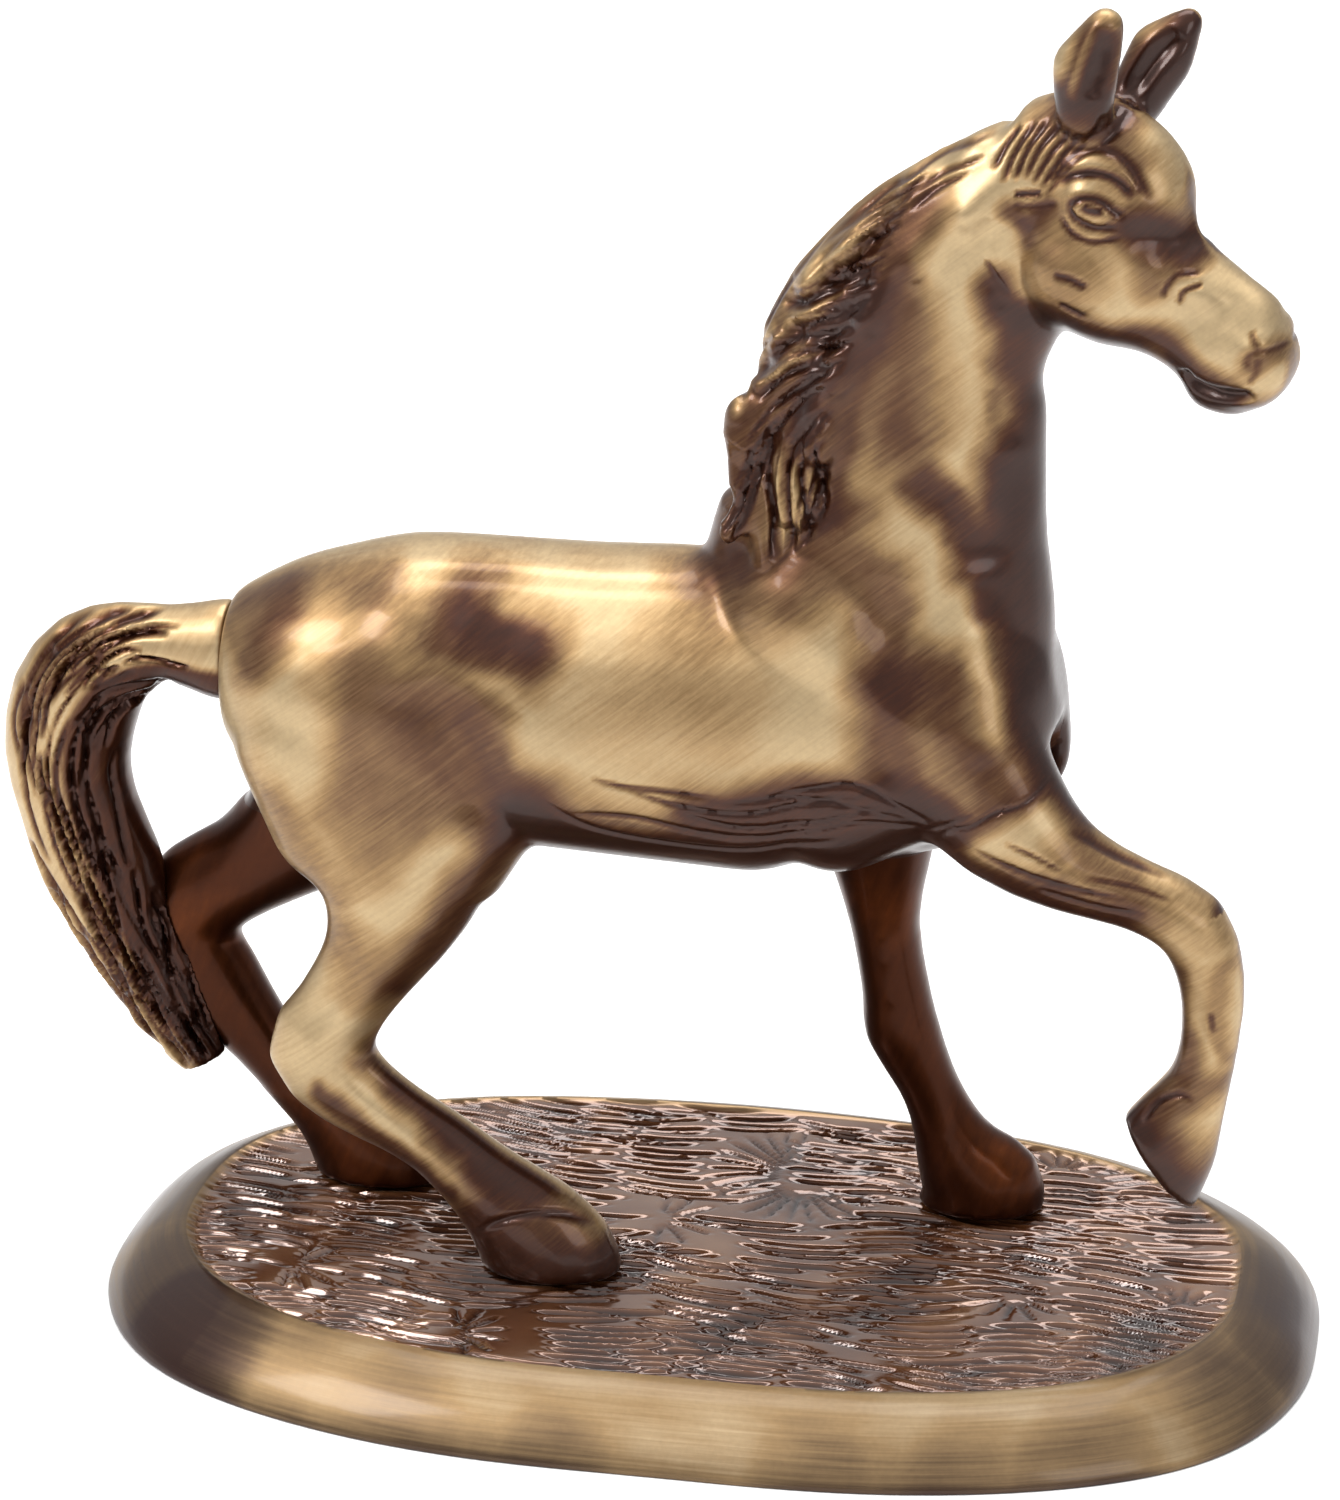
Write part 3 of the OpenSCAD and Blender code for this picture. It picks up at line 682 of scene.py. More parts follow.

# %% Where stains stay on the body, and the mane's painted shadow
STAINS_AND_MANE_SHADOW = [
    # line, width, strength
    ([[-31, 95], [-26.5, 93], [-21.6, 90]], 3.6, 0.85),           # flank
    ([[-29, 91], [-23, 90]], 2.4, 0.5),
    ([[-44, 86], [-42, 77], [-40, 69]], 5.4, 0.55),               # haunch
    ([[-36, 82], [-33, 74], [-28.6, 68]], 3.6, 0.62),
    ([[-34, 90], [-31.5, 84]], 3.0, 0.35),
    ([[-28.6, 80], [-25, 73], [-22, 68]], 3.4, 0.7),
    ([[-57.5, 92.4], [-60.4, 86]], 3.0, 0.6),                     # rump
    ([[-63, 91], [-55, 94.6], [-44, 97.4]], 2.4, 0.4),
    ([[-42, 94], [-34, 94]], 3.0, 0.25),
    ([[-58, 68], [-54, 61], [-49.6, 55]], 2.6, 0.4),
    ([[-47, 66], [-44, 60]], 4.0, 0.3),
    ([[-24.6, 64], [-29, 56], [-34, 49], [-40, 42]], 2.6, 0.75),
    ([[-48, 47], [-43, 41]], 3.6, 0.45),
    ([[-42, 29], [-34, 22], [-26, 15.4], [-20, 12]], 2.4, 0.88),
    ([[-51, 24], [-42, 17], [-34, 12]], 1.5, 0.8),
    ([[-33, 19], [-26, 13]], 2.6, 0.5),
    ([[-30, 7], [-22, 3], [-11, 2.4]], 4.4, 0.82),
    ([[-26, 9], [-17, 8]], 2.6, 0.55),
    ([[3, 98], [8, 100.4], [14, 104.4]], 4.6, 0.5),               # withers
    ([[-4, 101], [3, 102.4]], 3.0, 0.45),
    ([[13, 103], [18.6, 106.6], [19.6, 111]], 3.4, 0.5),          # shoulder
    ([[24, 102], [26, 95], [26.6, 90]], 3.6, 0.66),
    ([[26, 88], [26, 82], [30, 74]], 4.0, 0.75),
    ([[33.4, 91], [34.4, 85], [37.6, 79]], 3.0, 0.7),
    ([[29.6, 116], [33, 110.5], [37, 106.6]], 2.6, 0.85),         # foot of the neck
    ([[40.6, 118], [39.4, 111], [37, 105.6]], 3.0, 0.95),
    ([[38.4, 102], [39.4, 98.6]], 1.8, 0.8),
    ([[42.4, 136], [41.8, 126], [42, 117.5], [43, 105], [45.4, 94], [47, 83]], 3.6, 0.9),   # throat, breast
    ([[40, 102], [41.6, 96], [44, 88]], 2.4, 0.6),
    ([[-21, 67], [-12.5, 63.6], [1, 62.4], [14.5, 64.6], [28, 66.6]], 5.4, 1.0),                  # belly
    ([[2, 70.6], [14.5, 72.4], [24, 73], [33, 71]], 3.6, 0.85),
    ([[33, 69], [38, 72.6], [46, 77.4]], 1.8, 0.7),               # root of the raised leg
    ([[40, 79], [45.6, 80]], 2.6, 0.45),
    ([[36, 64.6], [46.6, 62], [59, 59.6]], 2.6, 0.8),
    ([[50, 68], [57, 65.4]], 1.8, 0.45),
    ([[65.6, 52], [65.4, 44], [65, 38]], 1.8, 0.65),
    ([[70.6, 53], [71, 42]], 1.4, 0.42),
    ([[64, 34], [69.4, 36]], 3.0, 0.6),
    ([[60, 62], [68, 58]], 3.0, 0.2),
    ([[58, 29], [63, 24], [68, 20]], 5.4, 0.95),                  # raised hoof
    # the mane's shadow on the neck, painted in as a dark band beside the mane
    ([[29, 153.4], [26, 149.4], [24.8, 145], [23.6, 140.6], [21.8, 135], [20, 129.6], [18.6, 123],
      [17.8, 116], [17.6, 110]], 2.3, 0.75),                      # beside the mane
    ([[20.6, 141], [18, 135], [15.4, 128], [13, 120]], 2.3, 0.85),  # under the mane
    ([[25, 138], [24.6, 131], [25.4, 124]], 4.0, 0.5),            # side of the neck
    ([[28, 134], [29, 125]], 4.0, 0.4),
    ([[26, 122], [23, 113]], 3.0, 0.3),
    ([[-14, 84], [-4, 80]], 5.0, 0.12),
    ([[-3, 90], [4, 85]], 5.0, 0.22),
]
print(len(STAINS_AND_MANE_SHADOW), "stains drawn on the body")

# %% Where stains stay on the head
HEAD_STAINS = [
    ([[57.6, 152.4], [60.6, 152], [64, 150]], 3.0, 0.95),         # under the brow
    ([[60, 149], [60.4, 145]], 2.4, 0.45),
    ([[47.6, 139.6], [55, 136.8], [62, 137.2], [66.4, 132.6]], 3.0, 0.86),   # jaw
    ([[64, 131], [70, 130]], 3.2, 1.0),                           # lip
    ([[65, 134.6], [71, 133.6]], 2.2, 0.5),
    ([[40, 143], [41.2, 139.6], [45, 137.6]], 3.0, 0.95),         # throat
    ([[47, 168], [51.6, 168.8], [55, 167.4]], 3.4, 1.0),          # roots of the ears
    ([[45, 164], [52.6, 165.6]], 3.2, 0.62),
    ([[51.6, 169.6], [53, 177]], 3.4, 1.0),                       # backs of the ears
    ([[41.6, 153.4], [44.4, 152.4], [47.4, 154.6]], 1.7, 0.7),    # temple
    ([[43.6, 151.6], [44.6, 149.4]], 1.5, 0.55),
    ([[73.6, 137], [75.6, 138.4], [79, 138.6]], 1.8, 0.55),       # nostril
    ([[54, 164], [57.4, 161]], 2.0, 0.5),
    ([[56, 158], [58.6, 155.4]], 2.6, 0.3),
    ([[45, 149.6], [48, 144]], 3.6, 0.25),
    ([[48, 152], [52, 146.5]], 4.6, 0.35),                        # cheek
]
print(len(HEAD_STAINS), "stains drawn on the head")

# %% Lay the stains on
STAIN_EDGE = 2.1           # a stain fades out at this many times its drawn width
HEAD_STAIN_WIDTH = 0.72    # on the head's small forms stains are narrower than drawn
LEFT_SHIFT = (4, -2)       # mm, so that the left side isn't a copy of the right


def stain(line, width, strength, side=RIGHT, head=False, reach=(-0.5, 99.0), wrap=False):
    """Patina, and the mane's painted shade and shadow, left round a line and fading out softly; stains that
    overlap add up without an edge.
    """
    seen = horse.head_seen if head else horse.body_seen
    normals = horse.head_normals if head else horse.normals
    points = horse.head_points if head else horse.points
    index, off, _ = near_line(seen, curved(line), width * STAIN_EDGE)
    outward = points[index, 1] * side
    keep = (outward > reach[0]) & (outward < reach[1])
    index, off = index[keep], off[keep]
    faced = 1.0 if wrap else smoothstep(-0.1, 0.3, normals[index, 1] * side)
    amount = (1 - smoothstep(0.1, 1.0, off / (width * STAIN_EDGE))) * strength * faced
    horse.stained_and_shaded[index] = 1 - (1 - horse.stained_and_shaded[index]) * (1 - amount)


for line, width, strength in STAINS_AND_MANE_SHADOW:
    stain(line, width, strength)
for line, width, strength in HEAD_STAINS:
    for side in (RIGHT, LEFT):
        stain(line, width * HEAD_STAIN_WIDTH, strength, side=side, head=True)
# on the left: flank, haunch, rump, withers, shoulder, breast, belly and neck
LEFT_STAINS = [STAINS_AND_MANE_SHADOW[i] for i in (0, 2, 3, 6, 18, 21, 22, 27, 29, 30, 41)]
for line, width, strength in LEFT_STAINS:
    stain(np.array(line) + LEFT_SHIFT, width, strength, side=LEFT)
MANE_SHADE = [
    ([[8, 128], [5, 120], [3.6, 112], [2, 105]], 5.0, 0.72),
    ([[14, 140], [10, 132]], 2.6, 0.3),
]
for line, width, strength in MANE_SHADE:
    stain(line, width, strength, reach=(-4, 30), wrap=True)
FAR_EAR = [[53, 166], [56, 170], [59.4, 175.6]]
stain(FAR_EAR, 3.4, 0.95, head=True, reach=(-16, -2))
print("mean stain:", round(float(horse.stained_and_shaded.mean()), 3))

# %% How far the horse is rubbed back
def facing(points, normals):
    """1 where the surface faces out to its own side, or up, and 0 where it faces inwards or down."""
    outward = normals[:, 1] * np.where(points[:, 1] < 0, -1, 1)
    return np.clip(smoothstep(-0.25, 0.5, outward) + 0.9 * smoothstep(0.1, 0.7, normals[:, 2]), 0, 1)


x, y, z = horse.points.T
nx, ny, nz = horse.normals.T
rub = np.where(on_head, facing(horse.head_points, horse.head_normals), facing(horse.points, horse.normals))
rub *= 1 - 0.85 * smoothstep(0.35, 0.95, -nz)                    # undersides
chest = (z > 60) & (z < 128) & (x > 30)
rub *= np.where(chest, 1 - 0.9 * smoothstep(0.45, 0.85, nx), 1)  # the breast faces forward
left_fore_leg = (x > 8) & (x < 48) & (y > 3) & (z < 64)
left_hind_leg = (x < -20) & (y > 2.5) & (z < 60)
left_leg = left_fore_leg | left_hind_leg
rub = np.where(left_leg, rub * (0.16 + 0.84 * smoothstep(0.1, 0.6, ny)), rub)    # only their outsides
rub = np.where(left_leg, rub * (0.4 + 0.6 * smoothstep(14, 44, z)), rub)         # less towards the hoof
standing_hoof = (z < 11) & (x < 0) & (y < 0)
rub = np.where(standing_hoof, rub * (0.45 + 0.35 * smoothstep(4, 8, z)), rub)
rub += 0.14 * soft_noise(horse.points, 26, 3)
rub = np.clip(rub, 0, 1) * (1 - horse.stained_and_shaded)
rub = np.maximum(rub, horse.shine * 0.95) * (1 - horse.grime * (1 - 0.45 * horse.shine))
horse.rub = np.clip(rub, 0, 1)
print("mean rub of the horse:", round(float(horse.rub.mean()), 3))

# %% How far the tail is rubbed back
TAIL_REACH = 13      # mm from the bow's middle to its furthest hair
inside = np.zeros(brush.count)
for i in range(len(TAIL_CURVE) - 1):
    way = TAIL_CURVE[i + 1] - TAIL_CURVE[i]
    length = np.linalg.norm(way)
    outward = np.array([way[1], -way[0]]) / length
    off = brush.points[:, [0, 2]] - TAIL_CURVE[i]
    share = off @ way / length / length
    near = (share > -0.3) & (share < 1.3) & (np.linalg.norm(off, axis=1) < TAIL_REACH)
    inside[near] = -(off[near] @ outward)
brush.rub = 0.95 * (1 - 0.9 * smoothstep(0.0, 1.8, inside)) * (1 - brush.grime)
brush.rub = np.clip(brush.rub + 0.1 * soft_noise(brush.points, 14, 5) * (1 - brush.grime), 0, 1)
print("mean rub of the tail:", round(float(brush.rub.mean()), 3))

# %% [markdown]
# ## Sawing the clay into castings
# The real horse is several castings, brazed together. The finished skin is cut by the same flat
# joints as the CAD, so every piece stands for one CAD node and the pieces meet without a gap. Each
# joint is a large box laid on its plane; a boolean keeps what is in it or what is outside it.

# %% Joints
JOINTS = {
    # name: point, normal, reach up, reach down, side of the horse
    "head": ([38.5, 0, 148], [0.92, 0, 0.39], 70, 70, 0),
    "right_foreleg": ([39.8, -10, 71.6], [0.8, 0, -0.6], 30, 60, RIGHT),
    "left_foreleg": ([20.8, 10, 56], [0, 0, -1], 32, 30, LEFT),
    "right_hind_leg": ([-40.5, -11, 53], [0, 0, -1], 40, 36, RIGHT),
    "left_hind_leg": ([-56, 9.5, 56], [0, 0, -1], 40, 36, LEFT),
}


BOX_DEPTH, BOX_ACROSS = 90.0, 60.0
HALF_CUBE = 300.0


def box_beyond(name):
    """A box whose one face lies on the joint and which holds all of the casting beyond it."""
    point, normal, up, down, side = JOINTS[name]
    bm = bmesh.new()
    bmesh.ops.create_cube(bm, size=1)
    n = Vector(normal).normalized()
    sideways = Vector((0, 1, 0))
    lengthways = sideways.cross(n)
    low = 0.0 if side == LEFT else -BOX_ACROSS
    high = 0.0 if side == RIGHT else BOX_ACROSS
    for v in bm.verts:
        a = (v.co.x + 0.5) * BOX_DEPTH
        b = low + (v.co.y + 0.5) * (high - low)
        c = up if v.co.z > 0 else -down
        place = Vector((point[0], 0, point[2])) + n * a + sideways * b + lengthways * c
        v.co = Vector(to_row(np.array(place)))
    bmesh.ops.recalc_face_normals(bm, faces=bm.faces)
    return solid("box_" + name, bm)


def primitive(name, build):
    """A cutting shape from a bmesh recipe."""
    bm = bmesh.new()
    build(bm)
    bmesh.ops.recalc_face_normals(bm, faces=bm.faces)
    return solid(name, bm)


def cut(source, name, steps):
    """A copy of the source after boolean steps: (operation, cutter)."""
    obj = linked(name, source.data.copy())
    for k, (operation, cutter) in enumerate(steps):
        saw = obj.modifiers.new(f"saw{k}", "BOOLEAN")
        saw.operation, saw.object, saw.solver = operation, cutter, "MANIFOLD"
    return finished(obj)


boxes = {name: box_beyond(name) for name in JOINTS}
left_half = primitive("left_half", lambda bm: bmesh.ops.create_cube(
    bm, size=1,
    matrix=Matrix.Translation(to_row([0, HALF_CUBE / 2, 80])) @ Matrix.Scale(HALF_CUBE * MM, 4)))
print(len(boxes), "joints, and the plane between the trunk's halves")

# %% Hollows and tapped holes
TAP_RADIUS, TAP_DEPTH = 2.0, 8.0
SOLES = {"left_foreleg": (35.2, 15.2), "right_hind_leg": (-19.8, -14.8), "left_hind_leg": (-49, 8.9)}


def egg(centre, radii):
    """A stretched ball, for the hollow of a casting."""
    def build(bm):
        stretch = Matrix.Diagonal((*[r * MM for r in radii], 1))
        bmesh.ops.create_icosphere(bm, subdivisions=4, radius=1,
                                   matrix=Matrix.Translation(to_row(centre)) @ stretch)
    return build


def bore(bm, sole, radius, depth):
    """A round hole, upright, with its middle at a hoof's sole."""
    bmesh.ops.create_cone(bm, cap_ends=True, segments=32, radius1=radius * MM, radius2=radius * MM,
                          depth=depth * MM, matrix=Matrix.Translation(to_row([*sole, 0])))


trunk_hollow = primitive("trunk_hollow", egg([-12, 0, 79], (46, 13, 15)))
neck_hollow = primitive("neck_hollow", egg([24, 0, 106], (12, 5.5, 30)))
taps = {name: primitive("tap_" + name, lambda bm: bore(bm, sole, TAP_RADIUS, 2 * TAP_DEPTH))
        for name, sole in SOLES.items()}
print("two hollows and", len(taps), "tapped holes")

# %% Saw the horse into its castings
castings = {}
for name in JOINTS:
    steps = [("INTERSECT", boxes[name])]
    if name in taps:
        steps.append(("DIFFERENCE", taps[name]))
    castings[name] = cut(body, name + "_casting", steps)
off_legs = [("DIFFERENCE", boxes[name]) for name in JOINTS]
hollows = [("DIFFERENCE", trunk_hollow), ("DIFFERENCE", neck_hollow)]
for half, operation in (("trunk_right", "DIFFERENCE"), ("trunk_left", "INTERSECT")):
    castings[half + "_shell"] = cut(body, half + "_casting", off_legs + [(operation, left_half)] + hollows)
castings["tail"] = tail
tail.name = "tail_casting"
for name, obj in castings.items():
    print(f"{name:18} {len(obj.data.polygons):7} faces")

# %% Hand each casting its rubbing
SAW_ANGLE = math.radians(62)      # only the sawn edges are sharper than this
MOST_TRIANGLES = 190000
SKIN_REACH = 1.0 * MM             # a point further than this from the clay lies in a hollow or a joint
HIDDEN_RUB = 0.15


def hand_over(obj, clay):
    """Gives each vertex of a casting the rub value of the nearest clay point."""
    tree = kdtree.KDTree(clay.count)
    for i, p in enumerate(to_row(clay.points)):
        tree.insert(p, i)
    tree.balance()
    mesh = obj.data
    values = np.zeros(len(mesh.vertices), np.float32)
    for v in mesh.vertices:
        _, index, off = tree.find(v.co)
        values[v.index] = clay.rub[index] if off < SKIN_REACH else HIDDEN_RUB
    rubbed = mesh.attributes.new("rub", "FLOAT", "POINT")
    rubbed.data.foreach_set("value", values)
    mesh.shade_smooth()
    mesh.set_sharp_from_angle(angle=SAW_ANGLE)


def triangles(obj):
    return sum(len(face.vertices) - 2 for face in obj.data.polygons)


def under_limit(obj):
    """Thins a casting evenly if it has more triangles than MOST_TRIANGLES."""
    before = triangles(obj)
    if before > MOST_TRIANGLES:
        thin = obj.modifiers.new("thin", "DECIMATE")
        thin.ratio = MOST_TRIANGLES / before
        finished(obj)
    return before, triangles(obj)


for name, obj in castings.items():
    print(f"{name:18} triangles before and after thinning: {under_limit(obj)}")
for name, obj in castings.items():
    hand_over(obj, brush if name == "tail" else horse)
for cutter in [*boxes.values(), *taps.values(), left_half, trunk_hollow, neck_hollow, body]:
    bpy.data.objects.remove(cutter)
print("rub values handed to", len(castings), "castings")

# %% [markdown]
# ## The plinth
# The plinth is a hollow oval casting. Its side swells out below a crisp upper edge, and its top is
# chiselled like wind-blown grass, with a few leaves and tufts. The top is a grid bent into the oval,
# fine enough to be cut by the same kind of strokes, and the side is extruded down from its edge.

# %% Lay the plinth's top
SQUARENESS = 2.5
PLINTH_MIDDLE = ((plinth_low.x + plinth_high.x) / 2, (plinth_low.y + plinth_high.y) / 2)
FLARE = 11 * MM
TOP_HALF = ((plinth_high.x - plinth_low.x) / 2 - FLARE, (plinth_high.y - plinth_low.y) / 2 - FLARE)
WALL = 4 * MM
TOP_GRID = (206, 324)
# the side, downwards: share of the flare, and height as a share of the plinth's
SIDE = [(0.02, 0.997), (0.06, 0.985), (0.12, 0.96), (0.2, 0.92), (0.3, 0.86), (0.42, 0.78), (0.54, 0.69),
        (0.65, 0.59), (0.75, 0.48), (0.84, 0.37), (0.91, 0.26), (0.96, 0.16), (0.99, 0.08), (1.0, 0.03),
        (0.985, 0.0)]


def oval_share(dx, dy, half):
    """How far out a place is on an oval with these half sizes: 0 in its middle, 1 on its edge."""
    return (abs(dx / half[0]) ** SQUARENESS + abs(dy / half[1]) ** SQUARENESS) ** (1 / SQUARENESS)


def oval_point(u, v, half):
    """A square grid's point, from -1 to 1 both ways, moved onto the oval."""
    px = half[0] * u * (1 - abs(v) ** SQUARENESS / 2) ** (1 / SQUARENESS)
    py = half[1] * v * (1 - abs(u) ** SQUARENESS / 2) ** (1 / SQUARENESS)
    return px + PLINTH_MIDDLE[0], py + PLINTH_MIDDLE[1]


bm = bmesh.new()
bmesh.ops.create_grid(bm, x_segments=TOP_GRID[0], y_segments=TOP_GRID[1], size=1)
for v in bm.verts:
    px, py = oval_point(v.co.x, v.co.y, TOP_HALF)
    v.co = Vector((px, py, plinth_high.z))
ring = [e for e in bm.edges if e.is_boundary]
print("top:", len(bm.faces), "faces,", [round(2 * h / MM, 1) for h in TOP_HALF], "mm")

# %% Extrude the side and the inner wall
def spread(verts, inset, height):
    """Moves a ring of the oval outwards by a distance, to a height."""
    for v in verts:
        dx, dy = (v.co.x - PLINTH_MIDDLE[0]), (v.co.y - PLINTH_MIDDLE[1])
        now = oval_share(dx, dy, ring_half)
        v.co.x = PLINTH_MIDDLE[0] + dx / ring_half[0] / now * (TOP_HALF[0] + inset)
        v.co.y = PLINTH_MIDDLE[1] + dy / ring_half[1] / now * (TOP_HALF[1] + inset)
        v.co.z = height


ring_half = list(TOP_HALF)
profile = [(share * FLARE, rise * plinth_high.z) for share, rise in SIDE]
profile += [(FLARE - WALL, 0.0)]
profile += [(share * FLARE - WALL, rise * plinth_high.z) for share, rise in reversed(SIDE[5:-1])
            if rise * plinth_high.z < plinth_high.z - WALL]
profile += [(0.35 * FLARE - WALL, plinth_high.z - WALL)]
for inset, height in profile:
    made = bmesh.ops.extrude_edge_only(bm, edges=ring)
    verts = [g for g in made["geom"] if isinstance(g, bmesh.types.BMVert)]
    ring = [g for g in made["geom"] if isinstance(g, bmesh.types.BMEdge) and g.is_boundary]
    spread(verts, inset, height)
    ring_half = [TOP_HALF[0] + inset, TOP_HALF[1] + inset]
bmesh.ops.holes_fill(bm, edges=ring, sides=0)
bmesh.ops.recalc_face_normals(bm, faces=bm.faces)
print(len(profile), "rings make the side and the inner wall")

# %% Make the outline uneven
WOBBLE = 1.3 * MM        # a cast outline is never quite true
for v in bm.verts:
    dx, dy = v.co.x - PLINTH_MIDDLE[0], v.co.y - PLINTH_MIDDLE[1]
    angle, out = math.atan2(dy / TOP_HALF[1], dx / TOP_HALF[0]), math.hypot(dx, dy)
    waves = math.sin(3 * angle + 0.6) + 0.6 * math.sin(5 * angle + 2.4) + 0.4 * math.sin(11 * angle)
    uneven = (2 + waves) / 4
    share = min(1.0, oval_share(dx, dy, TOP_HALF) ** (2 * SQUARENESS))
    if out > 0:
        v.co.x -= dx / out * uneven * WOBBLE * share
        v.co.y -= dy / out * uneven * WOBBLE * share
plinth = solid("plinth_casting", bm)
plinth_mesh = plinth.data
print("plinth:", len(plinth_mesh.polygons), "faces")

# %% [markdown]
# ## Chiselled grass
# The grass is hundreds of short arched cuts about two millimetres apart. They stand in columns across
# the plinth, and each column bends its own way. Leaves, whose veins fan out from a stalk, break the
# columns. Every cut is jittered from one seed, so that every run gives the same ground.

# %% Plan the leaves and the grass
ROW_SPACING = 1.75      # mm, as everything here
COLUMN = 11.0
CLEAR_OF_LEAF = 1.1     # grass keeps this many times a leaf's spread away from it
LEAVES = [
    # stalk, radius, turn and spread in radians
    ([9, 20], 13.0, -1.57, 1.0), ([9, 22], 15.0, 2.75, 0.7), ([-9, 5], 9.0, 0.1, 1.2),
    ([43, -8], 8.0, -1.57, 1.1), ([-56, -18], 9.0, -0.1, 1.1), ([44, 30], 7.0, 1.8, 1.1),
    ([-30, -33], 8.0, 0.3, 1.0), ([66, -8], 7.0, 2.0, 1.0),
]


def in_leaf(px, py):
    """Whether a leaf covers this place: leaves are fans from a stalk."""
    for at, radius, turn, fan in LEAVES:
        dx, dy = px - at[0], py - at[1]
        off = abs((math.atan2(dy, dx) - turn + math.pi) % (2 * math.pi) - math.pi)
        if math.hypot(dx, dy) < radius and off < fan * CLEAR_OF_LEAF:
            return True
    return False


chisel = random.Random(23)
cuts = []
half_mm = [h / MM for h in TOP_HALF]
column = -half_mm[0] - COLUMN
while column < half_mm[0]:
    arch = chisel.uniform(0.5, 1.3) * chisel.choice((-1, 1))
    row = -half_mm[1] + chisel.uniform(-1, 1)
    while row < half_mm[1]:
        at = column + 3 * math.sin(row / 7 + column) + chisel.uniform(-3, 3)
        length = COLUMN * chisel.uniform(1.0, 1.7)
        lean = 0.16 * math.sin(row / 11 + column / 9) + chisel.uniform(-0.05, 0.05)
        line = [[at + length * t,
                 row + lean * length * t + arch * math.sin(math.pi * t) + chisel.uniform(-0.15, 0.15)]
                for t in (0, 0.2, 0.4, 0.6, 0.8, 1)]
        if not in_leaf(*line[2]) and not in_leaf(*line[4]):
            cuts.append((line, chisel.uniform(0.7, 0.95), chisel.uniform(0.5, 0.85)))
        row += ROW_SPACING * chisel.uniform(0.8, 1.2)
    column += COLUMN
grass_cuts = len(cuts)
VEIN_WIDTH, VEIN_DEPTH, VEIN_BEND = 0.62, 0.6, 0.35
for (lx, ly), radius, turn, fan in LEAVES:
    veins = 11 if radius > 10 else 7
    for k in range(veins):
        place = 2 * k / (veins - 1) - 1      # from -1 to 1 across the leaf
        way, bend = turn + fan * place, VEIN_BEND * place
        cuts.append(([[lx + r * math.cos(way + bend * r / radius), ly + r * math.sin(way + bend * r / radius)]
                      for r in np.linspace(radius * 0.22, radius, 5)], VEIN_WIDTH, VEIN_DEPTH))
print(grass_cuts, "cuts of grass and", len(cuts) - grass_cuts, "veins")

# %% Chisel the ground
flat = np.zeros(len(plinth_mesh.vertices) * 3, np.float32)
plinth_mesh.vertices.foreach_get("co", flat)
ground = flat.reshape(-1, 3).astype(float)
ground_mm = to_horse(ground)
on_top = ground[:, 2] > plinth_high.z - SAME_POINT / 10
edge_share = oval_share(ground[:, 0] - PLINTH_MIDDLE[0], ground[:, 1] - PLINTH_MIDDLE[1], TOP_HALF)
sunk = np.zeros(len(ground))
from_middle = (ground[:, :2] - PLINTH_MIDDLE) / MM
for line, width, depth in cuts:
    index, off, along = near_line(from_middle, line, width)
    keep = on_top[index]
    index, off, along = index[keep], off[keep], along[keep]
    fade = np.clip(np.minimum(along, 1 - along) * 5, 0, 1) ** 0.7
    sunk[index] = np.maximum(sunk[index], depth * smoothstep(0, 1, 1 - off / width) * fade)
swell = 0.22 * (1 + soft_noise(ground_mm * [1, 1, 0], 22, 9, 2)) * on_top
inner = smoothstep(1.0, 0.965, edge_share)
ground[:, 2] -= (sunk * inner + (0.12 + swell) * smoothstep(1.0, 0.975, edge_share)) * on_top * MM
plinth_mesh.vertices.foreach_set("co", ground.astype(np.float32).ravel())
plinth_mesh.update()
print("deepest cut:", round(float(sunk.max()), 2), "mm")

# %% How far the plinth is rubbed back
height = np.clip(ground[:, 2] / plinth_high.z, 0, 1)
top_rub = np.clip(0.3 - 0.42 * sunk + 0.12 * soft_noise(ground_mm, 17, 4), 0, 0.5)
top_rub = top_rub * inner + (1 - inner) * 0.75
side_rub = 0.68 + 0.2 * soft_noise(ground_mm * [1, 1, 2.5], 40, 12)
RIM_STAINS = [
    # place from the plinth's middle, radius, strength
    ((-76, -24), 16, 0.6), ((-66, -34), 14, 0.62), ((-80, 12), 24, 0.5), ((78, -22), 14, 0.3),
    ((84, 2), 20, 0.66), ((60, -44), 12, 0.4), ((44, -48), 10, 0.25), ((-34, -48), 10, 0.25),
    ((-12, -52), 8, 0.2), ((22, -52), 9, 0.22), ((10, 52), 30, 0.4), ((70, 34), 20, 0.4),
]
for (sx, sy), radius, strength in RIM_STAINS:
    off = np.hypot(from_middle[:, 0] - sx, from_middle[:, 1] - sy) / radius
    side_rub -= strength * np.clip(1 - off * off, 0, 1)
# the side is darker towards the bottom
side_rub -= 0.35 * smoothstep(0.2, 0.0, height)
plinth_rub = np.where(on_top, top_rub, np.clip(side_rub, 0, 1))
for attribute_name, values in (("rub", plinth_rub), ("lawn", on_top * inner)):
    layer = plinth_mesh.attributes.new(attribute_name, "FLOAT", "POINT")
    layer.data.foreach_set("value", values.astype(np.float32))
print("mean rub of the top:", round(float(top_rub[on_top].mean()), 3),
      "and of the side:", round(float(plinth_rub[~on_top].mean()), 3))

# %% Drill the plinth for its screws
SCREW_HOLE_RADIUS, DRILL_DEPTH = 2.25, 30
holes = primitive("screw_holes", lambda bm: [bore(bm, sole, SCREW_HOLE_RADIUS, DRILL_DEPTH)
                                             for sole in SOLES.values()])
bored = plinth.modifiers.new("bore", "BOOLEAN")
bored.operation, bored.object, bored.solver = "DIFFERENCE", holes, "MANIFOLD"
finished(plinth)
bpy.data.objects.remove(holes)
plinth.data.shade_smooth()
plinth.data.set_sharp_from_angle(angle=SAW_ANGLE)
print("plinth after drilling:", len(plinth.data.polygons), "faces; attributes",
      [a.name for a in plinth.data.attributes if a.name in ("rub", "lawn")])

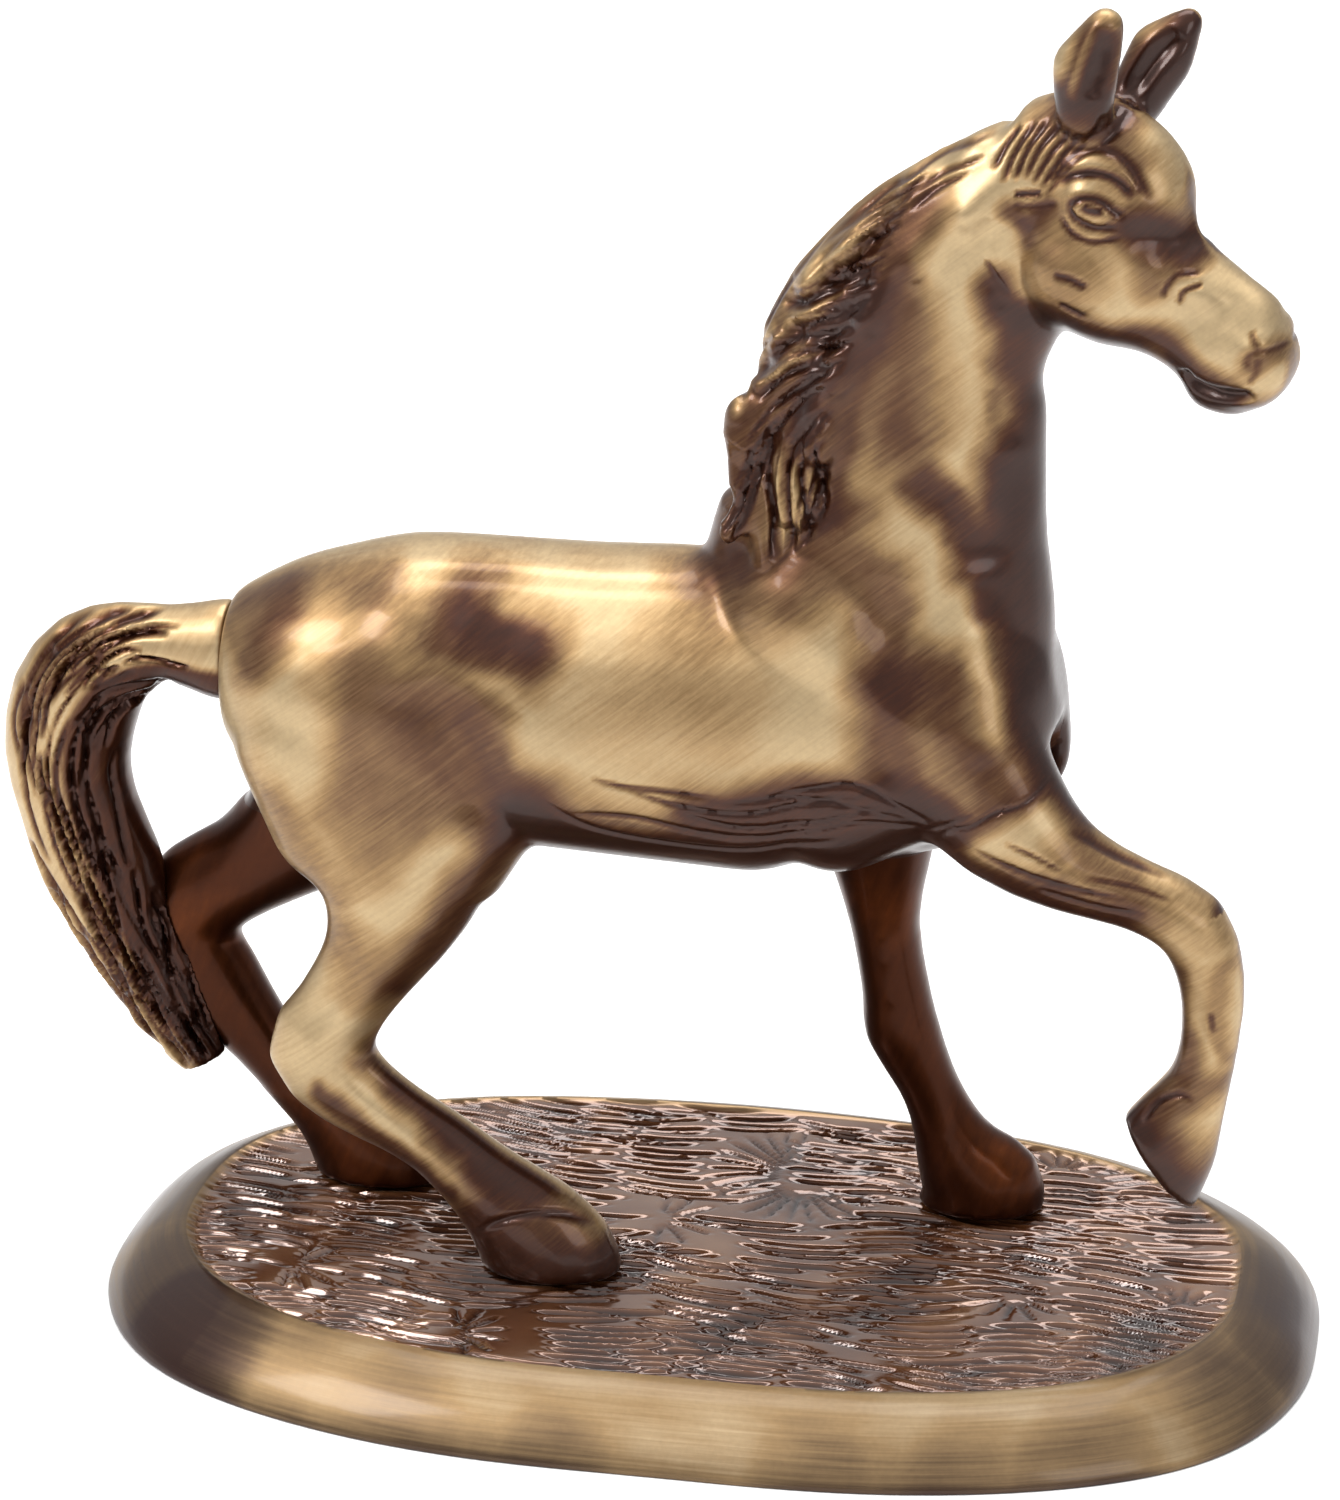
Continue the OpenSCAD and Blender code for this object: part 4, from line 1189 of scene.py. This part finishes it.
# %% [markdown]
# ## The bronze's finish
# Polished bronze with its patina is two finishes on one surface: pale brushed brass, which is bare
# metal with fine parallel scratches, and a dark brown chemical patina under lacquer, which is nearly
# black and glossy. A shader mixes them by the rub value. Streaky noise breaks the line between them,
# because the abrasive leaves streaks along the way that it was drawn.

# %% Helpers for materials
def srgb(code):
    """An sRGB hex colour as linear RGBA."""
    channels = [int(code[i:i + 2], 16) / 255 for i in (1, 3, 5)]
    return (*[c / 12.92 if c <= 0.04045 else ((c + 0.055) / 1.055) ** 2.4 for c in channels], 1.0)


def add(tree, kind, settings=None, links=None, stops=()):
    """A shader node of one kind, with its settings, its inputs given as values or as other nodes'
    sockets, and for a colour ramp its stops, which are (place, sRGB hex)."""
    made = tree.nodes.new("ShaderNode" + kind)
    for i, (place, code) in enumerate(stops):
        if i >= len(made.color_ramp.elements):
            made.color_ramp.elements.new(place)
        step = made.color_ramp.elements[i]
        step.position, step.color = place, srgb(code)
    for key, value in (settings or {}).items():
        setattr(made, key, value)
    for key, value in (links or {}).items():
        if isinstance(value, bpy.types.NodeSocket):
            tree.links.new(value, made.inputs[key])
        else:
            made.inputs[key].default_value = value
    return made


def new_material(name):
    """A material with no nodes yet, and its node tree."""
    material = bpy.data.materials.new(name)
    material.use_nodes = True
    material.node_tree.nodes.clear()
    return material, material.node_tree


print("a patina brown in linear light:", [round(c, 4) for c in srgb("#2C1105")])

# %% Colours of the bronze
# from whole patina to bare metal; the legs that face away keep more of it, the ground nearly all
PATINA_TO_BRASS = [(0.0, "#2C1105"), (0.14, "#3E1C09"), (0.3, "#573820"), (0.48, "#73573B"),
                   (0.68, "#91744F"), (0.86, "#A98D66"), (1.0, "#B69F7A")]
RIM_BRASS = [(0.0, "#2E1408"), (0.3, "#54402C"), (0.68, "#8C7352"), (1.0, "#AF9C7E")]
LEG_BROWNS = [(0.0, "#3C1A06"), (0.2, "#55290D"), (0.5, "#7C5530"), (1.0, "#AC9068")]
GROUND_BROWNS = [(0.0, "#26120A"), (0.12, "#44230F"), (0.28, "#653F26"), (0.5, "#8C694E")]
CLOUD_SIZE, SPECK_SIZE = 9 * MM, 0.7 * MM
STREAK_RELIEF, SPECK_RELIEF = 0.02 * MM, 0.04 * MM
print("darkest and palest:", PATINA_TO_BRASS[0][1], PATINA_TO_BRASS[-1][1])

# %% Rubbed bronze
def rubbed_bronze(name, streak_turn, streak_mm, stops=PATINA_TO_BRASS, roughness=(0.28, 0.42), lacquer=0.28,
                  patina_metal=0.6, ground=False):
    """Bronze with a rubbed patina. The streaks are streak_mm wide and long, turned by streak_turn
    degrees. Roughness is given for patina and for brass; lacquer and patina_metal are the patina's
    coat and metallic."""
    material, tree = new_material(name)
    place = add(tree, "TexCoord").outputs["Object"]
    turned = add(tree, "Mapping", links={
        "Vector": place, "Rotation": tuple(math.radians(a) for a in streak_turn)}).outputs["Vector"]
    streaked = add(tree, "Mapping", links={
        "Vector": turned, "Scale": tuple(1 / (s * MM) for s in streak_mm)}).outputs["Vector"]
    streaks = add(tree, "TexNoise", links={
        "Vector": streaked, "Scale": 1.0, "Detail": 4.0, "Roughness": 0.6}).outputs["Fac"]
    clouds, specks = (
        add(tree, "TexNoise", links={"Vector": place, "Scale": 1 / size, "Detail": detail}).outputs["Fac"]
        for size, detail in ((CLOUD_SIZE, 3.0), (SPECK_SIZE, 2.0)))

    # streaks and clouds push the rub value, most where it is between patina and brass
    rub = add(tree, "Attribute", {"attribute_name": "rub"}).outputs["Fac"]
    streak_push = add(tree, "Math", {"operation": "MULTIPLY_ADD"}, {0: streaks, 1: 1.3, 2: -0.65}).outputs[0]
    cloud_push = add(tree, "Math", {"operation": "MULTIPLY_ADD"}, {0: clouds, 1: 0.9, 2: -0.45}).outputs[0]
    pushes = add(tree, "Math", {"operation": "ADD"}, {0: streak_push, 1: cloud_push}).outputs[0]
    kept = add(tree, "Math", {"operation": "SUBTRACT"}, {0: 1.0, 1: rub}).outputs[0]
    between = add(tree, "Math", {"operation": "MULTIPLY"}, {0: rub, 1: kept}).outputs[0]
    edge_push = add(tree, "Math", {"operation": "MULTIPLY_ADD"}, {0: between, 1: 0.9, 2: 0.1}).outputs[0]
    worn = add(tree, "Math", {"operation": "MULTIPLY_ADD", "use_clamp": True},
               {0: pushes, 1: edge_push, 2: rub}).outputs[0]

    # colour: the ramp, darkened by specks and streaks
    colour = add(tree, "ValToRGB", links={"Fac": worn}, stops=stops).outputs["Color"]
    mottled = add(tree, "Math", {"operation": "MULTIPLY_ADD"}, {0: specks, 1: 0.2, 2: 0.74}).outputs[0]
    mottled = add(tree, "Math", {"operation": "MULTIPLY_ADD"}, {0: streaks, 1: 0.3, 2: mottled}).outputs[0]
    tinted = add(tree, "Mix", {"data_type": "RGBA", "blend_type": "MULTIPLY"},
                 {"Factor": 1.0, "A": colour, "B": mottled}).outputs["Result"]

    # gloss: each runs from its value in the patina to its value on bare brass
    rough, metal, coat = (
        add(tree, "MapRange", links={"Value": worn, "From Min": low, "From Max": high, "To Min": patina,
                                     "To Max": brass}).outputs["Result"]
        for low, high, patina, brass in ((0.1, 0.8, *roughness), (0.05, 0.85, patina_metal, 1.0),
                                         (0.15, 0.65, lacquer, 0.22)))
    rough = add(tree, "Math", {"operation": "MULTIPLY_ADD", "use_clamp": True},
                {0: streaks, 1: 0.12, 2: rough}).outputs[0]
    if ground:
        lawn = add(tree, "Attribute", {"attribute_name": "lawn"}).outputs["Fac"]
        trodden = add(tree, "Math", {"operation": "MULTIPLY_ADD"}, {0: cloud_push, 1: 0.3, 2: rub}).outputs[0]
        soil = add(tree, "ValToRGB", links={"Fac": trodden}, stops=GROUND_BROWNS).outputs["Color"]
        tinted = add(tree, "Mix", {"data_type": "RGBA"},
                     {"Factor": lawn, "A": tinted, "B": soil}).outputs["Result"]
        rough, metal = (
            add(tree, "Mix", links={"Factor": lawn, "A": there, "B": on_ground}).outputs["Result"]
            for there, on_ground in ((rough, 0.18), (metal, 0.45)))
        coat = add(tree, "Math", {"operation": "MAXIMUM"}, {0: coat, 1: lawn}).outputs[0]
    bump = add(tree, "Bump", links={
        "Height": streaks, "Strength": 0.35, "Distance": STREAK_RELIEF}).outputs["Normal"]
    bump = add(tree, "Bump", links={
        "Height": specks, "Strength": 0.25, "Distance": SPECK_RELIEF, "Normal": bump}).outputs["Normal"]
    shader = add(tree, "BsdfPrincipled", links={
        "Base Color": tinted, "Metallic": metal, "Roughness": rough, "Coat Weight": coat,
        "Coat Roughness": 0.12, "Normal": bump})
    add(tree, "OutputMaterial", links={"Surface": shader.outputs["BSDF"]})
    return material


body_bronze = rubbed_bronze("brushed_brass_over_brown_patina", (0, 38, 0), (14, 2, 0.4))
leg_bronze = rubbed_bronze("brown_patina_legs", (0, 70, 0), (8, 3, 1.2), LEG_BROWNS,
                           lacquer=0.08, patina_metal=0.9)
tail_bronze = rubbed_bronze("chased_tail_brass", (0, 60, 0), (9, 3, 0.6), lacquer=0.2, patina_metal=0.8)
plinth_bronze = rubbed_bronze("plinth_brass_and_patina", (0, 0, 0), (22, 22, 0.4), RIM_BRASS,
                              roughness=(0.25, 0.5), ground=True)
print("made", [m.name for m in (body_bronze, leg_bronze, tail_bronze, plinth_bronze)])

# %% [markdown]
# ## Screws and washers
# They are plain zinc-plated steel, turned and then tumbled, and only seen from below. Turning leaves
# faint rings round the axis, and the zinc is slightly blotchy.

# %% Turned steel
PALE_ZINC = "#D9D8D2"
BLOTCH_SIZE, RING_RELIEF = 1.6 * MM, 0.02 * MM
RADIANS_IN_A_RING = 6.28      # a wave texture repeats once in this many units


def turned_steel(name, code, ring_mm):
    """Plated steel with fine turning rings and a blotchy surface."""
    material, tree = new_material(name)
    place = add(tree, "TexCoord").outputs["Object"]
    blotch = add(tree, "TexNoise", links={
        "Vector": place, "Scale": 1 / BLOTCH_SIZE, "Detail": 4.0}).outputs["Fac"]
    rings = add(tree, "TexWave", {"wave_type": "BANDS", "bands_direction": "Z"}, {
        "Vector": place, "Scale": 1 / (ring_mm * MM) / RADIANS_IN_A_RING, "Distortion": 0.6,
        "Detail": 1.0}).outputs["Fac"]
    colour = add(tree, "ValToRGB", links={"Fac": blotch},
                 stops=[(0.3, code), (0.7, PALE_ZINC)]).outputs["Color"]
    rough = add(tree, "Math", {"operation": "MULTIPLY_ADD"}, {0: blotch, 1: 0.25, 2: 0.22}).outputs[0]
    bump = add(tree, "Bump", links={
        "Height": rings, "Strength": 0.3, "Distance": RING_RELIEF}).outputs["Normal"]
    shader = add(tree, "BsdfPrincipled", links={
        "Base Color": colour, "Metallic": 1.0, "Roughness": rough, "Normal": bump})
    add(tree, "OutputMaterial", links={"Surface": shader.outputs["BSDF"]})
    return material


STEELS = {"hoof_screws": turned_steel("zinc_plated_screws", "#9C9C98", 0.25),
          "screw_washers": turned_steel("tumbled_steel_washers", "#8C8B86", 0.4)}
for node_name, steel in STEELS.items():
    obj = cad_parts[node_name]
    if not obj.material_slots:
        obj.data.materials.append(None)
    for held in obj.material_slots:
        held.link, held.material = "OBJECT", steel
print("steel on", list(STEELS))

# %% [markdown]
# ## Putting the pieces on the frame
# Every casting rides on the one rigid body and takes the place of its CAD node, which is hidden.

# %% Ride and replace
FINISHES = {
    "plinth": (plinth_bronze, "plinth_bronze"),
    "tail": (tail_bronze, "brass"),
    "left_foreleg": (leg_bronze, "patina"),
    "left_hind_leg": (leg_bronze, "patina"),
}
castings["plinth"] = plinth
for name, obj in castings.items():
    obj.data.materials.clear()
    finish, slot_name = FINISHES.get(name, (body_bronze, "brass"))
    obj.data.materials.append(finish)
    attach(obj, "root")
    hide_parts(name)
print(len(castings), "castings ride on the frame")

# %% [markdown]
# ## Studio
# A pale floor, a soft light from the upper left, a broad one overhead, a weak one from the right, and
# a nearly white room, because metal only shows what it reflects. The camera stands slightly in front
# of the horse's right side and looks down on it.

# %% Floor
FLOOR_SIZE, FLOOR_GRAIN = 4.0, 14.0      # metres, and grains in a metre
bm = bmesh.new()
bmesh.ops.create_grid(bm, x_segments=1, y_segments=1, size=FLOOR_SIZE)
floor = solid("studio_floor", bm)
floor_paint, tree = new_material("pale_studio_floor")
floor_place = add(tree, "TexCoord").outputs["Object"]
grain = add(tree, "TexNoise", links={"Vector": floor_place, "Scale": FLOOR_GRAIN}).outputs["Fac"]
floor_white = add(tree, "ValToRGB", links={"Fac": grain},
                  stops=[(0.0, "#F4F4F4"), (1.0, "#F8F8F8")]).outputs["Color"]
floor_shader = add(tree, "BsdfPrincipled", links={"Base Color": floor_white, "Roughness": 0.9})
add(tree, "OutputMaterial", links={"Surface": floor_shader.outputs["BSDF"]})
floor.data.materials.append(floor_paint)
print("floor", 2 * FLOOR_SIZE, "m across")

# %% Room and lights
ROOM_LIGHT = 0.9
HORSE_MIDDLE = Vector((0.0, 0.0, 0.09))
world = bpy.data.worlds.new("white_room")
bpy.context.scene.world = world
world.use_nodes = True
room = world.node_tree
room.nodes.clear()
ways = add(room, "TexCoord").outputs["Generated"]
rise = add(room, "SeparateXYZ", links={"Vector": ways}).outputs["Z"]
walls = add(room, "ValToRGB", links={"Fac": rise}, stops=[
    (0.0, "#C4C4C8"), (0.25, "#D2D2D4"), (0.7, "#FFFFFF")]).outputs["Color"]
glow = add(room, "Background", links={"Color": walls, "Strength": ROOM_LIGHT})
add(room, "OutputWorld", links={"Surface": glow.outputs["Background"]})


def softbox(name, at, size, power):
    """A rectangular area light aimed at the horse, with places and sizes in metres and power in watts."""
    data = bpy.data.lights.new(name, "AREA")
    data.shape, data.size, data.size_y, data.energy = "RECTANGLE", size[0], size[1], power
    light = linked(name, data)
    light.location = at
    light.rotation_mode = "QUATERNION"
    light.rotation_quaternion = (HORSE_MIDDLE - Vector(at)).to_track_quat("-Z", "Y")


softbox("key_upper_left", (-0.7, -0.5, 1.0), (0.45, 0.45), 10)
softbox("top", (0.0, 0.3, 1.1), (0.9, 0.6), 10)
softbox("fill_right", (0.9, -0.9, 0.6), (0.5, 0.5), 3)
bpy.context.scene.view_settings.view_transform = "Standard"
print("lights:", [light.name for light in bpy.data.lights])

# %% Camera
LOOK_AT = Vector((1.3, 2.5, 81)) * MM
AZIMUTH, ELEVATION, DISTANCE = math.radians(11), math.radians(23), 0.9
level = math.cos(ELEVATION)
back = Vector((math.sin(AZIMUTH) * level, -math.cos(AZIMUTH) * level, math.sin(ELEVATION)))
lens = bpy.data.cameras.new("camera")
lens.lens, lens.sensor_width = 160.9, 36.0      # mm
camera = linked("camera", lens)
camera.location = LOOK_AT + back * DISTANCE
camera.rotation_mode = "QUATERNION"
camera.rotation_quaternion = (-back).to_track_quat("-Z", "Y")
bpy.context.scene.camera = camera
print("camera at", [round(c, 4) for c in camera.location])
